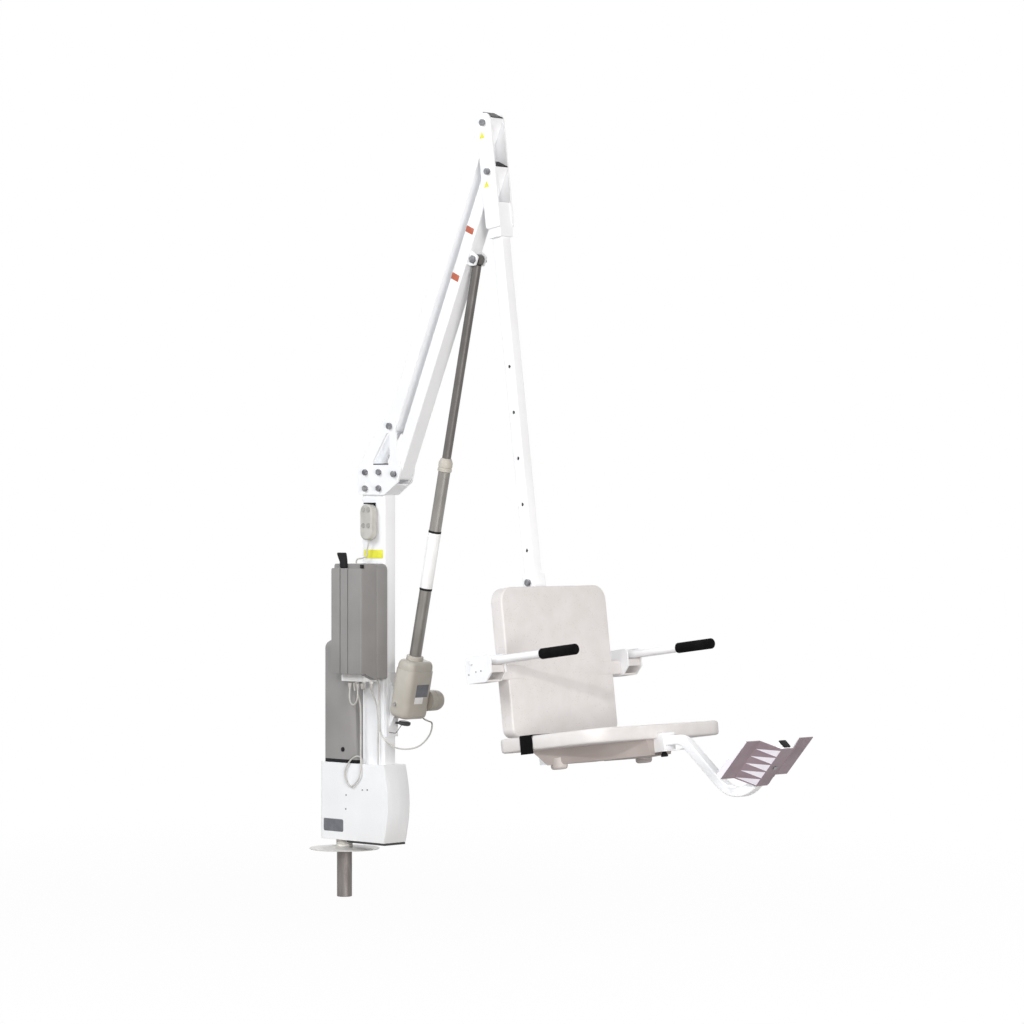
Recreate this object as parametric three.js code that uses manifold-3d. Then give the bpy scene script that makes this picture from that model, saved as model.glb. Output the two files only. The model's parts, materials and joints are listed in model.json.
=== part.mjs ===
// Pool patient lift: a turning base in a deck socket, parallel arms raised by a screw actuator,
// and a seat that stays level on its hanger. Millimetres, +Z up, +X the way the seat faces.
// The origin is the axis of the anchor post at deck level.
import * as THREE from "three";
import { mergeVertices } from "three/addons/utils/BufferGeometryUtils.js";
import Module from "manifold-3d";

const wasm = await Module();
wasm.setup();

// Fits and facet counts
const fitGap = 0.3;
const sideGap = 0.8;
const cutOverrun = 6;
const weldLap = 0.4;
const boltFit = 0.3;
const roundSides = 24;
const flangeSides = 40;
const smallSides = 12;
const hexSides = 6;
const arcStepDeg = 22.5;

// Anchor post, deck disc and swivel collar
const postRadius = 24.15;
const postWall = 3.9;
const postBelowDeck = 152.4;
const postTopZ = 238;
const flangeRadius = 112;
const flangeEdge = 3;
const flangeRise = 8;
const flangeFlatRadius = 45;
const collarRadius = 26.5;
const collarTopZ = 32.7;

// Gear pair: the fixed gear is keyed to the post, the pinion walks the base round it
const gearModule = 2;
const fixedTeeth = 40;
const pinionTeeth = 12;
const pressureAngleDeg = 20;
const gearBacklash = 0.36;
const gearTipCut = 0.3;
const gearRootDepth = 2.5;
const flankShares = [0, 1];
const gearBottomZ = 190;
const gearThickness = 20;
const gearHubRadius = 30;
const gearHubRise = 8;
const pinionShaftRadius = 6;
const pinionShaftTopZ = 312;

// Turning base
const baseBackX = -64;
const baseFrontX = 226;
const baseHalfWidth = 48.5;
const baseWall = 3;
const baseTopZ = 279;
const baseCornerRadius = 12;
const basePlateTopZ = 33;
const basePlateThickness = 6.7;
const basePlateBackX = 58;
const basePlateLip = 6;
const bulgeDepth = 28;
const bulgeChamfer = 18;
const bulgeSide = 20;
const bulgeLevels = 10;
const bulgeFlatShare = 0.05;
const bulgeShoulderShare = 0.86;

// Base frame and its bushings
const bushingWall = 3;
const bushingLength = 34;
const bushingFlange = 3;
const bushingFlangeRadius = 31;
const swivelTubeRadius = 34;
const swivelTubeTopZ = 180;
const floorThickness = 6;
const topPlateThickness = 6;
const cheekThickness = 6;
const cheekBackX = 62;
const cheekFrontX = 205;
const shaftHoleRadius = 9;

// Swivel gearmotor, its cover and the seal
const gearboxRadius = 38;
const gearboxHeight = 60;
const motorRadius = 34;
const motorHeight = 180;
const motorDomeShare = 0.7;
const motorCoverBackX = -48;
const motorCoverHalfWidth = 47;
const motorCoverTopZ = 670;
const motorCoverWall = 3;
const motorCoverRadius = 14;
const motorCoverTopRadius = 26;
const motorCoverNose = 24.8;
const motorCoverNoseRun = 34;
const facetTopX = 34;
const facetFootX = 104;
const domeLevels = 5;
const sealHeight = 10.7;
const sealWidth = 6;

// Mast, 4 x 2 inch tube
const mastBackX = 108.2;
const mastDepth = 101.6;
const mastWidth = 50.8;
const mastWall = 3.2;
const mastCorner = 6;
const mastTopZ = 1226;
const mastCapThickness = 4;

// Parallel arms: pivots, tubes and their travel
const kneeForward = 52.4;
const kneeZ = 1196.1;
const linkLength = 152.4;
const tiltDeg = 7.5;
const armLength = 1010;
const armElevationDeg = 66;
const armWidth = 50.8;
const armDepth = 44.5;
const armWall = 3.2;
const armKneeRound = 22;
const armTipOverrun = 25;
const capThickness = 2.6;
const capPlugLength = 11;
const bushRadius = 12;

// Pivot bolts
const pivotRadius = 8;
const pivotHeadRadius = 13;
const pivotHeadHeight = 9;

// Knuckle plates on the mast
const plateThickness = 5.8;
const knuckleBehind = 14;
const knuckleFront = 27.3;
const knuckleTop = 23.8;
const knuckleFoot = 65.7;
const knuckleOutlineShares = [
  [0, 0.008, 0.02],
  [0.621, 0, 0.03],
  [0.945, 0.168, 0.07],
  [1, 0.325, 0.06],
  [0.922, 0.586, 0.1],
  [0.854, 1, 0.09],
  [0.619, 1, 0.09],
  [0.247, 0.619, 0.05],
  [0, 0.331, 0.04],
];
const knuckleWindowShares = [
  [0.667, 0.798, 0.02],
  [0.364, 0.447, 0.02],
  [0.388, 0.394, 0.015],
  [0.76, 0.392, 0.03],
  [0.737, 0.823, 0.025],
];
const knuckleWebShares = [
  [0.6, 0.006],
  [0.621, 0.004],
  [0.86, 0.126],
  [0.845, 0.148],
  [0.6, 0.026],
];
const mastBoltRadius = 6;
const mastBoltHeadRadius = 12.5;
const mastBoltHeadHeight = 9;
const mastBoltDepthShares = [0.237, 0.848];
const mastBoltRise = 21;
const mastBoltPitch = 51;

// Screw actuator between the mast bracket and the ears of the lower arm
const actuatorForward = 79.6;
const actuatorFootZ = 474.8;
const earFromTip = 272;
const earOffset = 40.6;
const earInner = 15.5;
const earThickness = 6;
const earHalfLength = 22;
const earTipMargin = 15;
const earStubHeight = 6;
const housingTail = 57;
const housingHead = 143;
const housingBack = 32;
const housingFront = 48;
const housingHalfWidth = 55;
const housingEdge = 6;
const housingCorner = 14;
const forkHalfWidth = 13;
const forkHead = 22;
const forkFront = 22;
const neckRadius = 27;
const neckLength = 13;
const actuatorMotorRadius = 33;
const actuatorMotorForward = 25;
const actuatorMotorRise = 14;
const actuatorMotorLength = 74;
const actuatorMotorEdge = 8;
const tubeRadius = 19;
const tubeBoreRadius = 15;
const tubeTopAlong = 746;
const tubeFloor = 5;
const rodCollarRadius = 22;
const rodCollarLength = 42;
const rodRadius = 14;
const rodFootAlong = 716;
const rodEyeRadius = 17;
const rodEyeHalfWidth = 11;
const actuatorPinRadius = 8;
const actuatorPinHeadRadius = 12;
const actuatorPinHeadHeight = 4;

// Actuator bracket on the mast
const bracketFlangeThickness = 10;
const bracketFlangeHalfWidth = 25;
const bracketBottomZ = 368;
const bracketTopZ = 570;
const tongueHalfWidth = 12;
const tongueNose = 18;
const tongueNoseRadius = 15.5;
const tongueFlare = 78;
const tongueWaist = 34;

// Control box, battery and connectors on the side of the mast
const boxBehind = 19;
const boxAhead = 16.7;
const boxOuterY = -75;
const boxBottomZ = 543;
const boxTopZ = 914;
const boxCorner = 20;
const boxEdge = 4;
const boxFootCorner = 7;
const boxStepHeight = 23;
const boxStepFront = 28;
const stripInset = 3;
const stripOuterY = -100;
const stripInnerY = -38;
const stripPlugY = -51;
const stripPlugRadius = 7;
const stripPlugDrop = 7;
const stripPlugShares = [0.18, 0.5, 0.82];
const batteryOuterY = -142;
const batteryBottomZ = 568;
const batteryTopZ = 900;
const batteryEdge = 2;
const batteryCorner = 5;
const batteryShell = 14.2;
const batteryCrown = 14;
const batteryCrownCorner = 8;
const batteryHeel = 19;
const batteryHeelRun = 46;
const grooveWidth = 4;
const grooveDepth = 3;
const grooveShares = [0.3, 0.555];
const leverBackX = 110.3;
const leverWidth = 41.2;
const leverRise = 49;
const leverThickness = 10;
const leverOutlineShares = [
  [0.37, 0],
  [1, 0],
  [0.96, 0.55],
  [0.85, 1, 0.05],
  [0, 1, 0.05],
  [0.19, 0.64],
  [0.34, 0.42],
];

// Hand control on its hook
const handsetBehind = 20;
const handsetLength = 114;
const handsetBottomZ = 988;
const handsetWidth = 54;
const handsetThickness = 26.5;
const handsetRadius = 24;
const handsetEdge = 5;
const hookPlateThickness = 2.4;
const hookWidth = 32;
const hookHeight = 76;
const hookLipThickness = 4;
const hookLipDepth = 20;
const buttonRadius = 8;
const buttonProud = 1.6;
const buttonDepth = 5;
const buttonEdge = 1;
const buttonColumnShares = [0.29, 0.71];
const buttonRowShares = [0.4, 0.84];

// Hanger, seen square to its own tilt
const hangerDrop = 1737;
const hangerPlateHalf = 30;
const hangerPlateRadius = 27;
const hangerPlateFoot = 174;
const hangerPlateFootRadius = 8;
const sleeveHalf = 25.4;
const sleeveTop = 98.6;
const sleeveFoot = 204;
const hangerTubeHalf = 19.05;
const hangerTubeWall = 3;
const hangerTubeTop = 104;
const hangerTubeFoot = 12;
const adjustPitch = 141.2;
const adjustFirst = 568;
const adjustCount = 5;
const adjustHoleRadius = 5.5;
const adjustPinHeight = 470;
const adjustPinRadius = 6;
const adjustPinHead = 11;
const adjustPinHeadHeight = 7;

// Seat frame: socket, cross rail, seat rail with the footrest receiver, armrest brackets
const socketTop = 495;
const crossRailBottom = 178;
const crossRailTop = 214;
const railHalfWidth = 25.4;
const railTop = -28;
const railBottom = -82;
const railWall = 3;
const railFront = 482;
const railBlockBack = 400;
const latchFront = 529;
const latchHalfWidth = 15;
const latchThickness = 3;
const latchSlotHalf = 4;
const latchSlotBack = 492;
const latchSlotFront = 521;
const armBracketReach = 37.5;
const armBracketSpan = 66;
const armBracketPlate = 6;
const armBracketBack = 5;
const armBracketFront = 108;
const armBracketBottom = 171;
const armBracketRise = 18;
const armBracketCorner = 8;
const armBracketChamfer = 26;
const armBracketWeb = 6;

// Backrest and seat pan
const backrestFront = 81;
const backrestThickness = 50;
const backrestBottom = 3;
const backrestTop = 451;
const backrestHalfWidth = 229.5;
const backrestCorner = 50;
const backrestFootCorner = 26;
const backrestEdge = 8;
const wingBottom = 173.5;
const wingTop = 218.5;
const wingCorner = 8;
const panBack = 60;
const panFront = 461;
const panHalfWidth = 288.5;
const panRim = 43;
const panBackRadius = 30;
const panFrontRadius = 62;
const panEdge = 8;
const wedgeDepth = 90;
const wedgeBack = 150;
const wedgeBackLower = 193;
const wedgeFront = 445;
const wedgeHalfWidth = 250;
const wedgeLowerHalfWidth = 222;
const wedgeFrontHalfWidth = 62;
const wedgeFrontLowerHalfWidth = 44;
const footAlong = 215;
const footHalfSpacing = 186;
const footRadius = 15;
const footBottom = 105;
const beltBack = 157;
const beltWidth = 50;
const beltThickness = 2.6;
const beltDrop = 53;

// Armrests
const armrestPivotForward = 30;
const armrestHeight = 232;
const armrestRadius = 12.7;
const armrestFront = 422;
const armrestWall = 2.4;
const armrestPinRadius = 5;
const armrestPinCollar = 9;
const gripBack = 288;
const gripFront = 427;
const gripRadius = 16;
const gripBore = 13.1;
const gripEdge = 5;
const gripBackEdge = 1.5;

// Footrest bar and folded footplate
const barHalfWidth = 15.9;
const barThickness = 28;
const barHeight = -52;
const barTail = 372;
const barBendForward = 540.3;
const barBendRadius = 60;
const barDropDeg = -47.3;
const barLowRadius = 95;
const footplateDeg = 40.8;
const footplateForward = 788.7;
const footplateHeight = -179.1;
const footplateLength = 148;
const footplateWall = 3;
const troughDepth = 38;
const troughHalfWidth = 26;
const slopeWidth = 62;
const ledgeWidth = 60;
const plateLipHeight = 16;
const louvreCount = 5;
const louvreRise = 9;
const louvreBaseShare = 0.82;
const louvreTipShare = 0.12;
const footBoltRadius = 8;
const footBoltHeight = 5;

// Clamp knob under the receiver
const knobForward = 458;
const knobStemRadius = 4;
const knobNarrow = 6;
const knobWide = 11;
const knobHeight = 15;

// Cords: diameters, facets and hand-laid routes
const cordRadius = 2.5;
const lanyardRadius = 1;
const cordSides = 8;
const handsetSteps = 9;
const motorSteps = 26;
const swivelSteps = 24;
const leadSteps = 10;
const lanyardSteps = 11;

// Places worked out from the sizes above
const radians = THREE.MathUtils.degToRad;
const mastFrontX = mastBackX + mastDepth;
const mastHalfWidth = mastWidth / 2;
const frameFloorZ = basePlateTopZ + fitGap;
const bushingRadius = postRadius + fitGap + bushingWall;
const swivelBoreRadius = bushingRadius + fitGap;
const gearReach = (fixedTeeth * gearModule) / 2;
const pinionReach = (pinionTeeth * gearModule) / 2;
const pinionX = gearReach + pinionReach;
const coverFootZ = baseTopZ + fitGap + sealHeight + fitGap;
const plateInnerY = armWidth / 2 + sideGap;
const plateOuterY = plateInnerY + plateThickness;
const pivotBoreRadius = pivotRadius + boltFit;
const earAlongArm = armLength - earFromTip;
const armBracketInnerY = backrestHalfWidth + armBracketReach;
const armBracketOuterY = armBracketInnerY + armBracketSpan;
const armrestY = (armBracketInnerY + armBracketOuterY) / 2;
const armBracketTop = armrestHeight + armBracketRise;
const armrestStopTop = armrestHeight - armrestRadius - fitGap;
const tilt = radians(tiltDeg);
const hangerUp = new THREE.Vector3(-Math.sin(tilt), 0, Math.cos(tilt));
const armAlong = new THREE.Vector3(
  Math.cos(radians(armElevationDeg)), 0, Math.sin(radians(armElevationDeg)),
);
const armBackward = new THREE.Vector3(-armAlong.z, 0, armAlong.x);
const lowerKnee = new THREE.Vector3(mastFrontX + kneeForward, 0, kneeZ);
const upperKnee = lowerKnee.clone().addScaledVector(hangerUp, linkLength);
const lowerTip = lowerKnee.clone().addScaledVector(armAlong, armLength);
const seatOrigin = lowerTip.clone().addScaledVector(hangerUp, -hangerDrop);
const actuatorFoot = new THREE.Vector3(mastFrontX + actuatorForward, 0, actuatorFootZ);
const actuatorHead = lowerKnee.clone()
  .addScaledVector(armAlong, earAlongArm)
  .addScaledVector(armBackward, -earOffset);
const actuatorSpan = actuatorHead.clone().sub(actuatorFoot);
const actuatorLength = actuatorSpan.length();
const actuatorDeg = THREE.MathUtils.radToDeg(Math.atan2(actuatorSpan.z, actuatorSpan.x));
const boxBackX = mastBackX - boxBehind;
const boxFrontX = mastFrontX + boxAhead;
const boxInnerY = -mastHalfWidth - fitGap;
const handsetBackX = mastBackX + handsetBehind;

// Materials
function finish(color, roughness, metalness = 0) {
  return new THREE.MeshStandardMaterial({ color, roughness, metalness });
}
const whitePaint = finish(0xf3f2ef, 0.4);
const darkPaint = finish(0x242426, 0.5);
const galvanised = finish(0x8c8984, 0.5, 0.6);
const bareSteel = finish(0xa8aaae, 0.35, 0.9);
const greyPlastic = finish(0x8f8c88, 0.6);
const palePlastic = finish(0xd9d7d2, 0.55);
const beigePlastic = finish(0xb9b2a5, 0.55);
const blackPlastic = finish(0x1b1b1d, 0.5);
const bronze = finish(0xa9814a, 0.4, 0.8);
const shellPlastic = finish(0xe6e2dc, 0.65);
const footPaint = finish(0x9d93a0, 0.55);
const gripFoam = finish(0x2a2a2b, 0.85);
const webbing = finish(0x3a3c40, 0.9);
const cordJacket = finish(0xc9c8c4, 0.6);

// A three.js geometry as a closed solid: corners shared, slivers dropped, faces outward
function solid(geometry) {
  const bare = geometry.index ? geometry.clone() : geometry;
  bare.deleteAttribute("normal");
  bare.deleteAttribute("uv");
  const shared = mergeVertices(bare);
  const kept = [];
  const index = shared.index.array;
  for (let i = 0; i < index.length; i += 3) {
    const corners = [index[i], index[i + 1], index[i + 2]];
    if (new Set(corners).size === corners.length) kept.push(...corners);
  }
  const positions = shared.attributes.position.array;
  if (signedVolume(positions, kept) < 0) kept.reverse();
  return new wasm.Manifold(new wasm.Mesh({
    numProp: 3,
    vertProperties: Float32Array.from(positions),
    triVerts: Uint32Array.from(kept),
  }));
}

function signedVolume(positions, triangles) {
  const corner = (k) => new THREE.Vector3().fromArray(positions, triangles[k] * 3);
  let total = 0;
  for (let i = 0; i < triangles.length; i += 3) {
    total += corner(i).dot(corner(i + 1).cross(corner(i + 2)));
  }
  return total;
}

function meshOf(name, shape, material) {
  const { vertProperties, triVerts } = shape.getMesh();
  const geometry = new THREE.BufferGeometry();
  geometry.setAttribute("position", new THREE.BufferAttribute(vertProperties, 3));
  geometry.setIndex(new THREE.BufferAttribute(triVerts, 1));
  geometry.computeVertexNormals();
  const mesh = new THREE.Mesh(geometry, material);
  mesh.name = name;
  return mesh;
}

// Corner rows [x, y, radius] as outline points, each radius drawn as an arc
function rounded(corners) {
  const points = [];
  corners.forEach(([x, y, radius = 0], i) => {
    const corner = new THREE.Vector2(x, y);
    if (radius === 0) {
      points.push(corner);
      return;
    }
    const [beforeX, beforeY] = corners[(i + corners.length - 1) % corners.length];
    const [afterX, afterY] = corners[(i + 1) % corners.length];
    const back = new THREE.Vector2(beforeX - x, beforeY - y).normalize();
    const ahead = new THREE.Vector2(afterX - x, afterY - y).normalize();
    const half = Math.acos(THREE.MathUtils.clamp(back.dot(ahead), -1, 1)) / 2;
    const centre = back.clone().add(ahead).setLength(radius / Math.sin(half)).add(corner);
    const start = corner.clone().addScaledVector(back, radius / Math.tan(half)).sub(centre);
    const end = corner.clone().addScaledVector(ahead, radius / Math.tan(half)).sub(centre);
    const sweep = Math.atan2(start.cross(end), start.dot(end));
    const steps = Math.max(1, Math.round(Math.abs(sweep) / radians(arcStepDeg)));
    for (let k = 0; k <= steps; k += 1) {
      points.push(start.clone().rotateAround(new THREE.Vector2(), (sweep * k) / steps).add(centre));
    }
  });
  return points;
}

// Shares of a box as corner rows; a third share is a radius, taken of the width
function spread(shares, left, bottom, width, height) {
  return shares.map(([u, v, r = 0]) => [left + u * width, bottom + v * height, r * width]);
}

function prism(points, depth, bevel = 0) {
  return new THREE.ExtrudeGeometry(new THREE.Shape(points), {
    depth: depth - 2 * bevel,
    bevelEnabled: bevel > 0,
    bevelThickness: bevel,
    bevelSize: bevel,
    bevelOffset: -bevel,
    bevelSegments: 2,
  }).translate(0, 0, bevel);
}

// Outline in X and Z, drawn out along Y; then the same for the other two directions
function alongY(corners, fromY, toY, bevel = 0) {
  const geometry = prism(rounded(corners), toY - fromY, bevel);
  return solid(geometry.rotateX(Math.PI / 2).translate(0, toY, 0));
}

function alongZ(corners, fromZ, toZ, bevel = 0) {
  return solid(prism(rounded(corners), toZ - fromZ, bevel).translate(0, 0, fromZ));
}

function alongX(corners, fromX, toX, bevel = 0) {
  const geometry = prism(rounded(corners), toX - fromX, bevel);
  geometry.rotateX(Math.PI / 2).rotateZ(Math.PI / 2);
  return solid(geometry.translate(fromX, 0, 0));
}

function block(fromX, toX, fromY, toY, fromZ, toZ) {
  const geometry = new THREE.BoxGeometry(toX - fromX, toY - fromY, toZ - fromZ);
  geometry.translate((fromX + toX) / 2, (fromY + toY) / 2, (fromZ + toZ) / 2);
  return solid(geometry);
}

function rectangle(fromX, toX, fromY, toY, radius = 0) {
  return [[fromX, fromY, radius], [toX, fromY, radius], [toX, toY, radius], [fromX, toY, radius]];
}

// Rows [radius, height] turned about Z
function turned(rows, sides = roundSides) {
  const profile = rows.map(([radius, height]) => new THREE.Vector2(radius, height));
  return solid(new THREE.LatheGeometry(profile, sides).rotateX(Math.PI / 2));
}

function ring(inner, outer, fromZ, toZ, sides = roundSides) {
  return turned([[inner, fromZ], [outer, fromZ], [outer, toZ], [inner, toZ], [inner, fromZ]], sides);
}

function rod(radius, fromZ, toZ, sides = roundSides) {
  return turned([[0, fromZ], [radius, fromZ], [radius, toZ], [0, toZ]], sides);
}

function turnToY(shape) {
  return shape.rotate([-90, 0, 0]);
}

function turnToX(shape) {
  return shape.rotate([0, 90, 0]);
}

// A round bar across the part, through X and Z
function crossBar(x, z, radius, fromY, toY, sides = smallSides) {
  return turnToY(rod(radius, fromY, toY, sides)).translate([x, 0, z]);
}

function bothSides(shape) {
  return shape.add(shape.mirror([0, 1, 0]));
}

function joined(shapes) {
  return shapes.reduce((whole, shape) => whole.add(shape));
}

// Levels of equal point count, one above another, skinned and capped
function skinned(levels) {
  const count = levels[0].length;
  const positions = levels.flat().flatMap((point) => point);
  const triangles = [];
  for (let level = 0; level + 1 < levels.length; level += 1) {
    for (let i = 0; i < count; i += 1) {
      const a = level * count + i;
      const b = level * count + ((i + 1) % count);
      triangles.push(a, b, b + count, a, b + count, a + count);
    }
  }
  const flat = levels[0].map(([x, y]) => new THREE.Vector2(x, y));
  const top = (levels.length - 1) * count;
  THREE.ShapeUtils.triangulateShape(flat, []).forEach(([a, b, c]) => {
    triangles.push(c, b, a, top + a, top + b, top + c);
  });
  const geometry = new THREE.BufferGeometry();
  geometry.setAttribute("position", new THREE.Float32BufferAttribute(positions, 3));
  geometry.setIndex(triangles);
  return solid(geometry);
}

function cord(route, radius, steps) {
  const section = new THREE.Shape();
  for (let k = 0; k < cordSides; k += 1) {
    const angle = (2 * Math.PI * k) / cordSides;
    const move = k === 0 ? "moveTo" : "lineTo";
    section[move](radius * Math.cos(angle), radius * Math.sin(angle));
  }
  section.closePath();
  const path = new THREE.CatmullRomCurve3(route.map((point) => new THREE.Vector3(...point)));
  return solid(new THREE.ExtrudeGeometry(section, { steps, extrudePath: path, bevelEnabled: false }));
}

// A folded or bent strip of one thickness along an open centre line
function band(centre, thickness) {
  const sides = [[], []];
  centre.forEach((point, i) => {
    const last = centre.length - 1;
    const [a, b] = [Math.max(0, i - 1), Math.max(1, i)];
    const [c, d] = [Math.min(last - 1, i), Math.min(last, i + 1)];
    const into = centre[b].clone().sub(centre[a]).normalize();
    const out = centre[d].clone().sub(centre[c]).normalize();
    const along = into.add(out).normalize();
    const normal = new THREE.Vector2(-along.y, along.x);
    const mitre = along.dot(out);
    [1, -1].forEach((side, k) => {
      sides[k].push(point.clone().addScaledVector(normal, (side * thickness) / (2 * mitre)));
    });
  });
  return [...sides[0], ...sides[1].reverse()].map(({ x, y }) => [x, y]);
}

// Anchor in the deck
function anchorPost() {
  return ring(postRadius - postWall, postRadius, -postBelowDeck, postTopZ);
}

function deckFlange() {
  const bore = postRadius + fitGap;
  const domeSteps = 3;
  const rows = [[bore, 0], [flangeRadius, 0]];
  for (let k = 0; k <= domeSteps; k += 1) {
    const share = k / domeSteps;
    rows.push([
      THREE.MathUtils.lerp(flangeRadius, flangeFlatRadius, share),
      THREE.MathUtils.lerp(flangeEdge, flangeRise, Math.sin((share * Math.PI) / 2)),
    ]);
  }
  return turned([...rows, [bore, flangeRise], [bore, 0]], flangeSides);
}

function swivelCollar() {
  return ring(postRadius + fitGap, collarRadius, flangeRise + fitGap, collarTopZ);
}

// Involute gear outline with one tooth centred on the angle phase
function gearOutline(teeth, phase) {
  const pitch = (teeth * gearModule) / 2;
  const base = pitch * Math.cos(radians(pressureAngleDeg));
  const tip = pitch + gearModule - gearTipCut;
  const root = pitch - gearRootDepth;
  const involute = (radius) => {
    const angle = Math.acos(Math.min(1, base / radius));
    return Math.tan(angle) - angle;
  };
  const thickness = (Math.PI * gearModule) / 2 - gearBacklash;
  const halfTooth = (radius) => thickness / (2 * pitch) + involute(pitch) - involute(radius);
  const flank = flankShares.map((share) => THREE.MathUtils.lerp(Math.max(base, root), tip, share));
  const radii = [root, ...flank];
  const points = [];
  for (let i = 0; i < teeth; i += 1) {
    const centre = phase + (2 * Math.PI * i) / teeth;
    const rising = radii.map((radius) => [radius, centre - halfTooth(radius)]);
    const falling = radii.map((radius) => [radius, centre + halfTooth(radius)]).reverse();
    [...rising, ...falling].forEach(([radius, angle]) => {
      points.push([radius * Math.cos(angle), radius * Math.sin(angle)]);
    });
  }
  return points;
}

function fixedGear() {
  const hubFoot = swivelTubeTopZ + 2 * fitGap + bushingFlange;
  const hub = rod(gearHubRadius, hubFoot, gearBottomZ + gearThickness + gearHubRise);
  const wheel = alongZ(gearOutline(fixedTeeth, 0), gearBottomZ, gearBottomZ + gearThickness);
  const bore = rod(postRadius + fitGap, hubFoot - cutOverrun, postTopZ);
  return wheel.add(hub).subtract(bore);
}

function drivePinion() {
  const phase = Math.PI + Math.PI / pinionTeeth;
  const wheel = alongZ(gearOutline(pinionTeeth, phase), gearBottomZ, gearBottomZ + gearThickness);
  const shaft = rod(pinionShaftRadius, gearBottomZ, pinionShaftTopZ, smallSides);
  return wheel.add(shaft).translate([pinionX, 0, 0]);
}

// Turning base
function bushing(flangeAtTop) {
  const bore = postRadius + fitGap;
  const foot = collarTopZ + fitGap;
  const flange = ring(bore, bushingFlangeRadius, 0, bushingFlange);
  const sleeve = ring(bore, bushingRadius, 0, bushingLength);
  const shape = flange.add(sleeve);
  if (!flangeAtTop) return shape.translate([0, 0, foot]);
  return shape.mirror([0, 0, 1]).translate([0, 0, swivelTubeTopZ + fitGap + bushingFlange]);
}

function baseFrame() {
  const backX = baseBackX + baseWall + fitGap;
  const frontX = baseFrontX - baseWall;
  const halfWidth = baseHalfWidth - baseWall - fitGap;
  const corner = baseCornerRadius - baseWall;
  const floorTop = frameFloorZ + floorThickness;
  const plate = rectangle(backX, frontX, -halfWidth, halfWidth, corner);
  const floor = alongZ(plate, frameFloorZ, floorTop);
  const top = alongZ(plate, baseTopZ - topPlateThickness, baseTopZ);
  const cheekInner = mastHalfWidth + fitGap;
  const cheek = alongY([
    [0, frameFloorZ],
    [cheekFrontX, frameFloorZ],
    [cheekFrontX, baseTopZ],
    [cheekBackX, baseTopZ],
    [cheekBackX, swivelTubeTopZ],
    [0, swivelTubeTopZ],
  ], cheekInner, cheekInner + cheekThickness);
  const tube = rod(swivelTubeRadius, frameFloorZ, swivelTubeTopZ);
  const cuts = joined([
    rod(swivelBoreRadius, frameFloorZ - cutOverrun, swivelTubeTopZ + cutOverrun),
    rod(bushingFlangeRadius + fitGap, frameFloorZ - cutOverrun, frameFloorZ + bushingFlange),
    block(
      mastBackX - fitGap, mastFrontX + fitGap, -cheekInner, cheekInner,
      floorTop, baseTopZ + cutOverrun,
    ),
    rod(shaftHoleRadius, swivelTubeTopZ + gearThickness, baseTopZ + cutOverrun, smallSides)
      .translate([pinionX, 0, 0]),
  ]);
  return joined([floor, top, bothSides(cheek), tube]).subtract(cuts);
}

function basePlate() {
  const halfWidth = baseHalfWidth - baseWall;
  return block(
    basePlateBackX, baseFrontX + basePlateLip, -halfWidth, halfWidth,
    basePlateTopZ - basePlateThickness, basePlateTopZ,
  );
}

function baseCover() {
  const wrap = (inset, frontX, fromZ, toZ) => {
    const corner = baseCornerRadius - inset;
    const side = baseHalfWidth - inset;
    return alongZ([
      [frontX, -side],
      [frontX, side],
      [baseBackX + inset, side, corner],
      [baseBackX + inset, -side, corner],
    ], fromZ, toZ);
  };
  const outer = wrap(0, baseFrontX, frameFloorZ, baseTopZ);
  const overrunX = baseFrontX + cutOverrun;
  return outer.subtract(wrap(baseWall, overrunX, frameFloorZ - cutOverrun, baseTopZ + cutOverrun));
}

function baseFrontCover() {
  const backX = baseFrontX + fitGap;
  const levels = [];
  for (let k = 0; k <= bulgeLevels; k += 1) {
    const height = THREE.MathUtils.lerp(frameFloorZ, baseTopZ, k / bulgeLevels);
    const swell = bulgeFlatShare + (1 - bulgeFlatShare) * Math.sin((Math.PI * k) / bulgeLevels);
    const half = (inset) => [
      [backX, baseHalfWidth - inset],
      [backX + baseWall - inset + bulgeSide * swell, baseHalfWidth - inset],
      [
        backX + baseWall - inset + bulgeDepth * bulgeShoulderShare * swell,
        baseHalfWidth - inset - bulgeChamfer * swell,
      ],
    ];
    const crown = (inset) => [backX + baseWall - inset + bulgeDepth * swell, 0];
    const mirrored = (rows) => rows.map(([x, y]) => [x, -y]);
    const outer = [...mirrored(half(0)), crown(0), ...half(0).reverse()];
    const inner = [...half(baseWall), crown(baseWall), ...mirrored(half(baseWall)).reverse()];
    levels.push([...outer, ...inner].map(([x, y]) => [x, y, height]));
  }
  return skinned(levels);
}

// Swivel gearmotor standing on the top plate, its shaft bore open below
function swivelGearmotor() {
  const foot = baseTopZ + fitGap;
  const shoulder = foot + gearboxHeight;
  const top = shoulder + motorHeight;
  const bore = pinionShaftRadius + boltFit;
  const boreTop = pinionShaftTopZ + fitGap;
  const dome = motorRadius * motorDomeShare;
  return turned([
    [0, boreTop],
    [bore, boreTop],
    [bore, foot],
    [gearboxRadius, foot],
    [gearboxRadius, shoulder],
    [motorRadius, shoulder],
    [motorRadius, top - motorRadius + dome],
    [dome, top],
    [0, top],
  ]).translate([pinionX, 0, 0]);
}

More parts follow.
